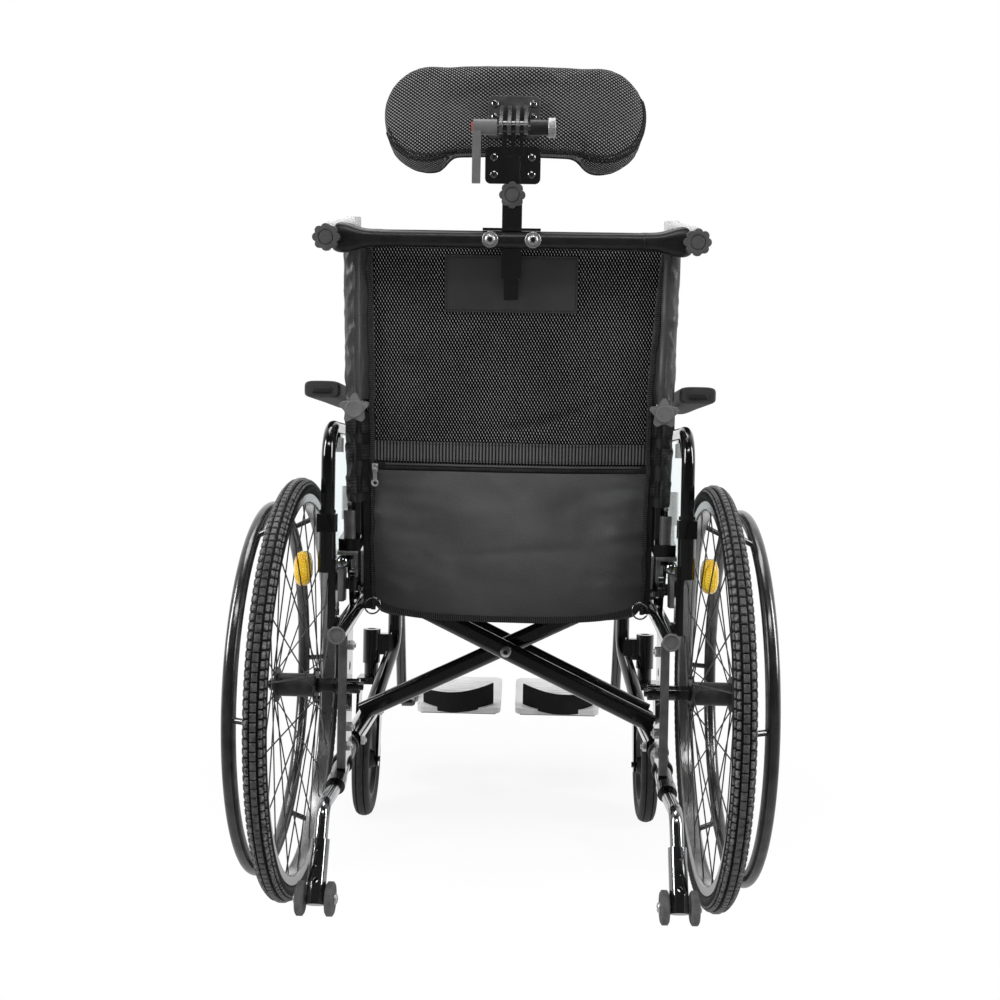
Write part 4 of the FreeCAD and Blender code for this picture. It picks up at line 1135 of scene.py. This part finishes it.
# Headrest
def head_outline(share):
    """The pad's outline: straight top and bottom with full round ends."""
    flat = PAD_HALF_WIDTH - PAD_HALF_HEIGHT
    arc = math.pi * PAD_HALF_HEIGHT
    run = share * (4 * flat + 2 * arc)
    for start, base, sign in ((0.0, -flat, 1), (2 * flat + arc, flat, -1)):
        along = run - start
        if along < 2 * flat:
            return base + sign * along, sign * PAD_HALF_HEIGHT
        if along < 2 * flat + arc:
            turn = (along - 2 * flat) / PAD_HALF_HEIGHT
            return sign * (flat + PAD_HALF_HEIGHT * math.sin(turn)), sign * PAD_HALF_HEIGHT * math.cos(turn)
    return -flat, PAD_HALF_HEIGHT


def head_depth(x):
    """How far the pad's middle plane comes forward at x."""
    return 34 * (abs(x) / PAD_HALF_WIDTH) ** 2


def head_spot(share, inset, depth):
    """A point of the pad on its outline, drawn in by a share and set forward of its rear face."""
    x, z = head_outline(share)
    x, z = x * inset, z * inset
    rise = min(max((abs(x) - 88) / 30, 0.0), 1.0)
    foot = 21 * rise ** 2 * (3 - 2 * rise) * min(max(-z / 40, 0.0), 1.0) * min(depth / 34, 1.0) ** 1.5
    return spot(x, PAD_REAR + depth + head_depth(x), PAD_Z + z - foot)


def headrest_shell():
    """Closed pad before stuffing: outline rings from the rear face to the front."""
    count = 120
    rings = ((0, 0.6), (0, 0.88), (3, 0.96), (10, 1.0), (32, 1.0), (46, 0.96), (53, 0.84), (55, 0.5))
    points = [head_spot(i / count, inset, depth) for depth, inset in rings for i in range(count)]
    return skinned(points, count, capped=True)


def stuffed(mesh, voxel, pressure, cap, frames=20):
    """Remeshes a closed shell and lets inner pressure round it, moving no point past cap (mm)."""
    holder = put("stuffing", mesh)
    remesh = holder.modifiers.new("voxels", "REMESH")
    remesh.mode = "VOXEL"
    remesh.voxel_size = voxel / 1000
    even = taken(holder)
    holder = put("stuffing", even)
    cloth = holder.modifiers.new("fill", "CLOTH").settings
    cloth.use_pressure = True
    cloth.uniform_pressure_force = pressure
    cloth.effector_weights.gravity = 0
    cloth.quality = 4
    for step in range(1, frames + 1):
        SCENE.frame_set(step)
    full = taken(holder)
    for vert, before in zip(full.vertices, even.vertices):
        move = vert.co - before.co
        if move.length > cap / 1000:
            vert.co = before.co + move.normalized() * (cap / 1000)
    SCENE.frame_set(1)
    return full


def smooth_and_divide(mesh, rounds):
    """Evens out a stuffed mesh and divides it once."""
    work = bmesh.new()
    work.from_mesh(mesh)
    for _ in range(rounds):
        bmesh.ops.smooth_vert(work, verts=work.verts, factor=0.5,
                              use_axis_x=True, use_axis_y=True, use_axis_z=True)
    holder = put("divide", mesh_of(work))
    divide = holder.modifiers.new("divide", "SUBSURF")
    divide.levels = 1
    divide.render_levels = 1
    return taken(holder)


def on_surface(mesh, points, lift):
    """Moves points to the nearest spot of a mesh, lift mm above it."""
    tree = BVHTree.FromPolygons([v.co for v in mesh.vertices], [tuple(p.vertices) for p in mesh.polygons])
    found = []
    for point in points:
        place, normal, _, _ = tree.find_nearest(point)
        found.append(place + normal * (lift / 1000))
    return found


def lay_flat(mesh):
    """Cloth coordinates in metres that run on from the pad's rear face round its sides."""
    uv = mesh.uv_layers.new(name="UVMap")
    rear = spot(0, PAD_REAR, 0).y
    for loop in mesh.loops:
        vert = mesh.vertices[loop.vertex_index]
        x, z = vert.co.x, vert.co.z - PAD_Z / 1000
        round_side = vert.co.y - rear - head_depth(x * 1000) / 1000
        lean = vert.normal
        across, along = lean.x * abs(lean.x), lean.z * abs(lean.z)
        uv.data[loop.index].uv = (x + round_side * across, z + round_side * along)


def headrest_pad():
    """Stuffed pad with piped seams and a zip along its lower side."""
    mesh = smooth_and_divide(stuffed(headrest_shell(), 5.0, 4.0, 5.0), 2)
    lay_flat(mesh)
    pad = piece("headrest_cushion", mesh, HEAD_MESH, "headrest", 180)
    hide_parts("headrest_pad")
    seams = []
    for depth, inset in ((2, 0.985), (12, 1.0)):
        path = [head_spot(0.36 + 0.5 * i / 119, inset, depth) for i in range(120)]
        seams.append(sweep(on_surface(mesh, path, 0.4), circle(1.7, 8), FRONT))
    ring = on_surface(mesh, [head_spot(i / 200, 0.965, 46) for i in range(200)], 0.4)
    seams.append(sweep(ring, circle(2.0, 8), FRONT, closed=True))
    piece("headrest_piping", join(*seams), BINDING, "headrest")
    lower = on_surface(mesh, [head_spot(0.37 + 0.48 * i / 99, 1.0, 7) for i in range(100)], 0.5)
    tooth = block((-0.5, -2.2, -0.8), (0.5, 2.2, 0.8), 0.2, loose_spot)
    teeth = copies_along(tooth, lower, 2.2, DARK_METAL)
    piece("headrest_zip", teeth, DARK_METAL, "headrest")


# Small hardware
def plate_screws():
    """Screws of the headrest's lower and upper finger plates."""
    plate_v = PUSH_BAR_V + PUSH_BAR_R + 1.5 - 6
    lower = [(cane_spot(x, plate_v, u), facing(REAR)) for x in (-27, 27) for u in (622, 646)]
    bolts("stem_plate_screws", 6.0, lower, "headrest_post", CHROME)
    upper = [(spot(x, 16, z), facing(BACK)) for x in (-28, 28) for z in (1124, 1143, 1162)]
    bolts("pad_plate_screws", 5.6, upper, "headrest", CHROME)


def clamp_button():
    """Red button in the end of the clamp lever's axle."""
    button = lathe([(0, 0), (0, 7.5), (2.2, 7.0), (3.0, 5), (3.2, 0)], spot(-57, TILT_Y, TILT_Z), -AXLE, 24)
    piece("clamp_button", button, RED_PLASTIC, "headrest_clamp")


def barrel_knurl():
    """Knurled steel ring on the barrel knob."""
    rib = block((-4.8, -0.8, -0.6), (4.8, 0.8, 0.9), 0.3, loose_spot)
    count, reach = 30, 12.9
    ribs = []
    for i in range(count):
        turn = 2 * math.pi * i / count
        place = spot(55, TILT_Y + reach * math.sin(turn), TILT_Z + reach * math.cos(turn))
        ribs.append((place, Matrix.Rotation(-turn, 3, "X")))
    ring = lathe([(49.8, 11), (49.8, 13.1), (60.2, 13.1), (60.2, 3.4)], spot(0, TILT_Y, TILT_Z), AXLE, 40)
    knurl = join(ring, copies_on(rib, ribs, BOLT_STEEL))
    piece("barrel_knurl", knurl, BOLT_STEEL, "headrest_nut")


def bar_bolts():
    """Two bolts with washers on the push bar's rear side."""
    rear = PUSH_BAR_V - PUSH_BAR_R
    washer = lathe([(-3, 0), (-3, 11.6), (0.6, 11.6), (1.2, 11), (1.3, 0)], ORIGIN, UP, 32)
    places = [(cane_spot(x, rear, PUSH_BAR_U), facing(REAR)) for x in BAR_BOLTS_X]
    washers = copies_on(washer, places, BOLT_STEEL)
    piece("push_bar_washers", washers, BOLT_STEEL, "right_back")
    places = [(cane_spot(x, rear - 1.2, PUSH_BAR_U), facing(REAR)) for x in BAR_BOLTS_X]
    bolts("push_bar_bolts", 8.0, places, "right_back", BOLT_STEEL)


def brace_hardware():
    """Head of the cross-brace's pivot bolt."""
    place = (spot(0, 178, 334), facing(BACK))
    bolts("brace_bolt", 9.0, [place], "brace_pair", BOLT_STEEL)


def rail_trim():
    """Bright sleeve with two black rings on each lower rail, behind the brace."""
    for side, s in SIDES:
        start, end = spot(s * RAIL_X, 74, 200.8), spot(s * RAIL_X, 18, 186.8)
        run = (end - start).length * 1000
        tube = lathe([(0, 12.6), (0, 13.3), (run, 13.3), (run, 12.6)], start, end - start, 40)
        piece(side + "_rail_sleeve", tube, GREY_METAL, side + "_frame")
        rings = []
        for at in (-4, run - 5):
            profile = [(at, 12.6), (at, 15.2), (at + 2, 16), (at + 7, 16), (at + 9, 15.2), (at + 9, 12.6)]
            rings.append(lathe(profile, start, end - start, 40))
        piece(side + "_rail_rings", join(*rings), BLACK_PLASTIC, side + "_frame")


def paddle_spot(x, v, u):
    """A point on the release paddle, which leans back as it goes down."""
    lean = math.radians(14)
    back = -30 + v * math.cos(lean) + u * math.sin(lean)
    return cane_spot(x, back, 16 + u * math.cos(lean) - v * math.sin(lean))


def recline_hardware():
    """Bracket plate, domed bolt, plunger housing and release paddle on each recline unit."""
    quarter = [i * math.pi / 24 for i in range(13)]
    dome = [(10.5 * math.sin(a), 10.5 * math.cos(a)) for a in quarter]
    stalk = [(-10, 0), (-10, 8), (-4, 8.5), (-2, 10)]
    plate_in, plate_out = 227.5, 259.4
    top = ((plate_in, -40, 57), (plate_out, -22, 61))
    flange = ((228.5, -38, 20), (235.5, -26, 58))
    rear = ((plate_in, -40.5, 55), (plate_out, -37.5, 60))
    housing = [(0, 0), (0, 9.0), (54, 9.0), (57, 8.4), (58, 4), (58, 0)]
    turns = [(i - 6) * math.pi / 12 for i in range(13)]
    knob = [(67 + 3.6 * math.sin(a), 3.6 * math.cos(a)) for a in turns]
    for side, s in SIDES:
        body = side + "_back"
        ball = lathe(stalk + dome, cane_spot(s * 251.6, -33.5, 43), REAR, 36)
        piece(side + "_recline_dome", ball, CHROME, body)

        def on_cane(x, v, u):
            return cane_spot(s * x, v, u)

        def on_paddle(x, v, u):
            return paddle_spot(s * x, v, u)

        plates = join(*[block(low, high, 1.0, on_cane) for low, high in (top, flange, rear)])
        close_up(plates)
        piece(side + "_recline_bracket", plates, GREY_METAL, body)
        centre = cane_spot(s * 241.3, -26.6, 66)
        unit = join(lathe(housing, centre, UP_CANE, 40), lathe(knob, centre, UP_CANE, 20))
        piece(side + "_plunger_housing", unit, GREY_METAL, body)
        lever = block((249.4, -8, -36), (262, 8, 20), 2.0, on_paddle)
        piece(side + "_release_paddle", lever, LEVER_PLASTIC, side + "_release")


def axle_bars():
    """Bare steel face on the upright axle bar."""
    for side, s in SIDES:
        low, high = sorted((s * 226.4, s * 238.6))
        face = block((low, -30.4, 190), (high, -27, 384), 1.2, spot)
        piece(side + "_axle_bar_face", face, GREY_METAL, side + "_frame")


def tube_caps():
    """Flat grey plugs in the open rear tube ends."""
    along = Vector((0, -0.9955, -0.0947))
    profile = [(0, 0), (0, 12.9), (2.4, 12.9), (3.4, 12.0), (3.4, 10.6), (1.2, 9.8), (1.2, 0)]
    for side, s in SIDES:
        plug = lathe(profile, spot(s * 236, -66, 388), along, 40)
        piece(side + "_tube_cap", plug, CAP_PLASTIC, side + "_frame")


def frame_nuts():
    """Nuts on the axle plates and the brace's sleeves."""
    nut = lathe([(0, 0), (0, 7.5), (5, 7.5), (6, 6.4), (6, 4), (8.5, 3.6), (8.8, 0)], ORIGIN, UP, 6)
    for side, s in SIDES:
        inward = facing(Vector((-s, 0, 0)))
        places = [(spot(s * 226, y, z), inward) for y, z in ((0, 245), (0, 365), (-16, 220))]
        places += [(spot(s * 220.5, y, 204), inward) for y in (96, 327)]
        nuts = copies_on(nut, places, BOLT_STEEL)
        piece(side + "_frame_nuts", nuts, BOLT_STEEL, side + "_frame")


def roller_caps():
    """Bolt heads on both ends of each anti-tip roller's axle."""
    cap = button_bolt(7.0)
    for side, s in SIDES:
        places = [(spot(s * RAIL_X + a, -205, 62), facing(Vector((a, 0, 0)))) for a in (-25.2, 25.2)]
        caps = copies_on(cap, places, BOLT_STEEL)
        piece(side + "_roller_bolts", caps, BOLT_STEEL, side + "_antitip_slide")


# Seat, arms and feet
def seat_rail(part):
    """The seat rail's axis from rear to front."""
    return 218 - 12 * part, 165 + 285 * part, 427 + 35 * part


def seat_cloth():
    """Seat sling that sags between the rails and wraps over them."""
    flat = (0.52, 0.285)
    wrap = 12.8

    def surface(s, t):
        x_rail, y, z_rail = seat_rail(t)
        x = (2 * s - 1) * (x_rail + 12)
        inside = min(abs(x) / (x_rail - 6), 1.0)
        sag = 17 * (1 - inside ** 2) * (1 - 0.25 * (2 * t - 1) ** 2)
        over = max(abs(x) - x_rail, 0)
        round_off = wrap - math.sqrt(max(wrap ** 2 - over ** 2, 0))
        lines = 1.2 * ripple(x / 60, y / 40, 6.0)
        return spot(x, y, z_rail + 13.6 - sag - round_off + lines * (1 - inside ** 4))

    mesh = sheet_shell(surface, flat, (100, 56), 2.4)
    seat = piece("seat_cloth", mesh, SEAT_NYLON, "brace_pair")
    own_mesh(seat)
    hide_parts("seat_sling")


def arm_pad_mesh(s):
    """One moulded pad: crowned top, drawn-in sides and rounded ends."""
    (low_x, low_y, low_z), (wide, long, tall) = ARM_PAD_LOW, ARM_PAD_SIZE
    around, along = 40, 60
    rings = [(-0.5, 0.55), (-0.5, 0.86)]
    rings += [(-0.5 + i / along, 1.0) for i in range(along + 1)]
    rings += [(0.5, 0.86), (0.5, 0.55)]
    points = []
    for place, share in rings:
        end = min(0.5 - abs(place), 0.03) / 0.03
        swell = share * (0.86 + 0.14 * math.sqrt(1 - (1 - end) ** 2)) * (1 - 0.02 * math.cos(place * 8))
        y = low_y + long * (place + 0.5)
        for c, d in round_steps(around):
            corner = squared_off(c, d, 5)
            x = low_x + wide / 2 + wide / 2 * c * corner * swell
            crown = 0.6 * (1 - c * c) if d > 0 else 0.0
            z = low_z + tall / 2 + (tall / 2 - 0.6) * d * corner * min(swell * 1.03, 1.0) + crown
            points.append(spot(s * x, y, z))
    return skinned(points, around, capped=True)


def arm_pads():
    """Armrest pads, with a dark clip in each rear end."""
    middle = ARM_PAD_LOW[0] + ARM_PAD_SIZE[0] / 2
    for side, s in SIDES:
        pad = piece(side + "_arm_cushion", arm_pad_mesh(s), SKIN, side + "_arm", 50)
        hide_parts(side + "_arm_pad")
        clip = block((s * middle - 14, 57.6, 738), (s * middle + 14, 62, 747), 1.2, spot)
        piece(side + "_arm_pad_clip", clip, BLACK_PLASTIC, side + "_arm")


def heel_loops():
    """Webbing behind each heel, sewn round and fixed to the plate."""
    inner, outer = 30.0, 168.0
    flat = (0.16, 0.045)
    for side, s in SIDES:
        def surface(a, b):
            x = inner + (outer - inner) * a
            bow = 1 - (2 * a - 1) ** 2
            back = -11 - 34 * bow + 1.0 * ripple(a * 6, b * 3, s * 2.0)
            low = 4 - 8 * a
            return foot_spot(s * x, back - 2 * b, low + (46 - 6 * a) * b)

        mesh = sheet_shell(surface, flat, (60, 10), 2.6)
        loop = piece(side + "_heel_strap", mesh, HEEL_WEB, side + "_foot")
        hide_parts(side + "_heel_loop")
        foot_spot(s * 100, 0, 6)
        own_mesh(loop)
        posts = [block((s * x - 5, -14, 4), (s * x + 5, -4, 7), 1.2, foot_spot) for x in (36, 160)]
        piece(side + "_heel_posts", join(*posts), BLACK_PLASTIC, side + "_foot")


def foot_ribs():
    """Raised grip bars on each footplate and a dark sole under it."""
    bar = block((-64, -1.6, -0.6), (64, 1.6, 1.2), 0.6, loose_spot)
    turn = Matrix.Rotation(FOOT_PITCH, 3, "X")
    for side, s in SIDES:
        middle = s * FOOT_MID
        sole = block((middle - 74, -33, -8.5), (middle + 74, 112, -6.2), 1.0, foot_spot)
        piece(side + "_foot_sole", sole, BLACK_PLASTIC, side + "_foot")
        places = [(foot_spot(middle, 12 + 12 * i, 6), turn) for i in range(8)]
        bars = copies_on(bar, places, FOOT_PLASTIC)
        piece(side + "_foot_ribs", bars, FOOT_PLASTIC, side + "_foot")


# Studio
def seen_by_eye(nodes):
    """One for rays from the camera; one for those and for rays from gloss or through glass."""
    rays = nodes.add("ShaderNodeLightPath").outputs
    seen = rays["Is Camera Ray"]
    for name in ("Is Glossy Ray", "Is Transmission Ray"):
        seen = nodes.calc("MAXIMUM", seen, rays[name])
    return rays["Is Camera Ray"], seen


def dim_behind(nodes, value, low, high, least):
    """Brightness that rises from least to one as a value goes from low to high."""
    inputs = {"From Min": low, "From Max": high, "To Min": least, "Value": value}
    return nodes.add("ShaderNodeMapRange", inputs).outputs["Result"]


def mixed(nodes, factor, first, second):
    """A number between two others."""
    return nodes.add("ShaderNodeMix", {0: factor, 2: first, 3: second}).outputs[0]


def studio_floor():
    """Pale floor that keeps the chair's shadow and runs out into the white surround."""
    size = 40
    corners = [(-size, -size, 0), (size, -size, 0), (size, size, 0), (-size, size, 0)]
    f = Finish("studio_floor", Base_Color=(0.9, 0.9, 0.9, 1), Roughness=0.8, Specular_IOR_Level=0.1)
    split = f.add("ShaderNodeSeparateXYZ", {"Vector": f.coords["Object"]})
    reach = f.vector("DISTANCE", "Value", f.coords["Object"], (0.0, 0.5, 0.0))
    camera, seen = seen_by_eye(f)
    dim = dim_behind(f, split.outputs["Y"], -0.9, 0.4, 0.12)
    glow = f.add("ShaderNodeEmission", {"Strength": mixed(f, camera, dim, 1.0)})
    share = f.calc("MULTIPLY", seen, dim_behind(f, reach, 0.15, 0.75, 0.86))
    mix = f.add("ShaderNodeMixShader", {0: share, 1: f.shader.outputs["BSDF"], 2: glow.outputs["Emission"]})
    f.feed(f.tree.nodes["Material Output"].inputs["Surface"], mix.outputs["Shader"])
    link_object("studio_floor", mesh_from(corners, [(0, 1, 2, 3)]), f.material)


def studio_world():
    """White surround for the camera; gloss sees it dim behind the photographer; soft light for the rest."""
    world = bpy.data.worlds.new("studio")
    SCENE.world = world
    world.use_nodes = True
    nodes = Nodes(world.node_tree)
    coords = nodes.add("ShaderNodeTexCoord")
    split = nodes.add("ShaderNodeSeparateXYZ", {"Vector": coords.outputs["Generated"]})
    dim = dim_behind(nodes, split.outputs["Y"], -0.25, 0.6, 0.03)
    camera, seen = seen_by_eye(nodes)
    level = mixed(nodes, camera, mixed(nodes, seen, WORLD_LEVEL, dim), 1.0)
    back = nodes.tree.nodes["Background"].inputs
    nodes.feed(back["Color"], (1, 1, 1, 1))
    nodes.feed(back["Strength"], level)


def area_light(name, place, target, size, power):
    """A soft box of a size in metres and a power in watts, turned to a target."""
    lamp = bpy.data.lights.new(name, "AREA")
    lamp.shape = "RECTANGLE"
    lamp.size, lamp.size_y = size
    lamp.energy = power
    obj = put(name, lamp)
    obj.location = place
    obj.rotation_euler = (Vector(target) - Vector(place)).to_track_quat("-Z", "Y").to_euler()


def studio_lights():
    """Two upright banks behind the chair, a strip over the camera and one light from above."""
    area_light("left_bank", (-2.5, -1.2, 1.9), (0, -0.1, 0.6), (0.7, 1.8), 58)
    area_light("right_bank", (2.6, -1.0, 1.8), (0, -0.1, 0.6), (0.6, 1.8), 48)
    area_light("rear_strip", (0.2, -2.4, 3.1), (0, -0.1, 0.7), (1.8, 0.35), 20)
    area_light("top", (-0.2, 0.1, 3.2), (0, -0.1, 0.5), (1.4, 1.4), 28)


def photo_camera():
    """The photograph's viewpoint, fitted to the chair's known wheel size."""
    yaw, pitch, roll = [math.radians(angle) for angle in CAMERA_TURN]
    ahead = Vector((math.sin(yaw) * math.cos(pitch), math.cos(yaw) * math.cos(pitch), math.sin(pitch)))
    right = Vector((math.cos(yaw), -math.sin(yaw), 0))
    up = right.cross(ahead)
    across = right * math.cos(roll) + up * math.sin(roll)
    upward = up * math.cos(roll) - right * math.sin(roll)
    lens = bpy.data.cameras.new("photo_camera")
    lens.sensor_width = CAMERA_SENSOR
    lens.lens = CAMERA_LENS
    camera = put("photo_camera", lens)
    turn = Matrix((across, upward, -ahead)).transposed().to_4x4()
    camera.matrix_world = Matrix.Translation(spot(*CAMERA_PLACE)) @ turn
    SCENE.camera = camera


for side_name, sign in SIDES:
    rear_wheel(side_name, sign)
    reflector(side_name, sign)
back_panel()
band_and_patch()
side_bindings()
side_strips()
pocket()
pocket_hem()
zip_fastener()
zip_pull()
stitching()
cane_sleeves()
knob_dishes()
split_rings()
headrest_pad()
plate_screws()
clamp_button()
barrel_knurl()
bar_bolts()
brace_hardware()
rail_trim()
recline_hardware()
axle_bars()
tube_caps()
frame_nuts()
roller_caps()
seat_cloth()
arm_pads()
heel_loops()
foot_ribs()
studio_floor()
studio_world()
studio_lights()
photo_camera()
SCENE.view_settings.view_transform = "Standard"
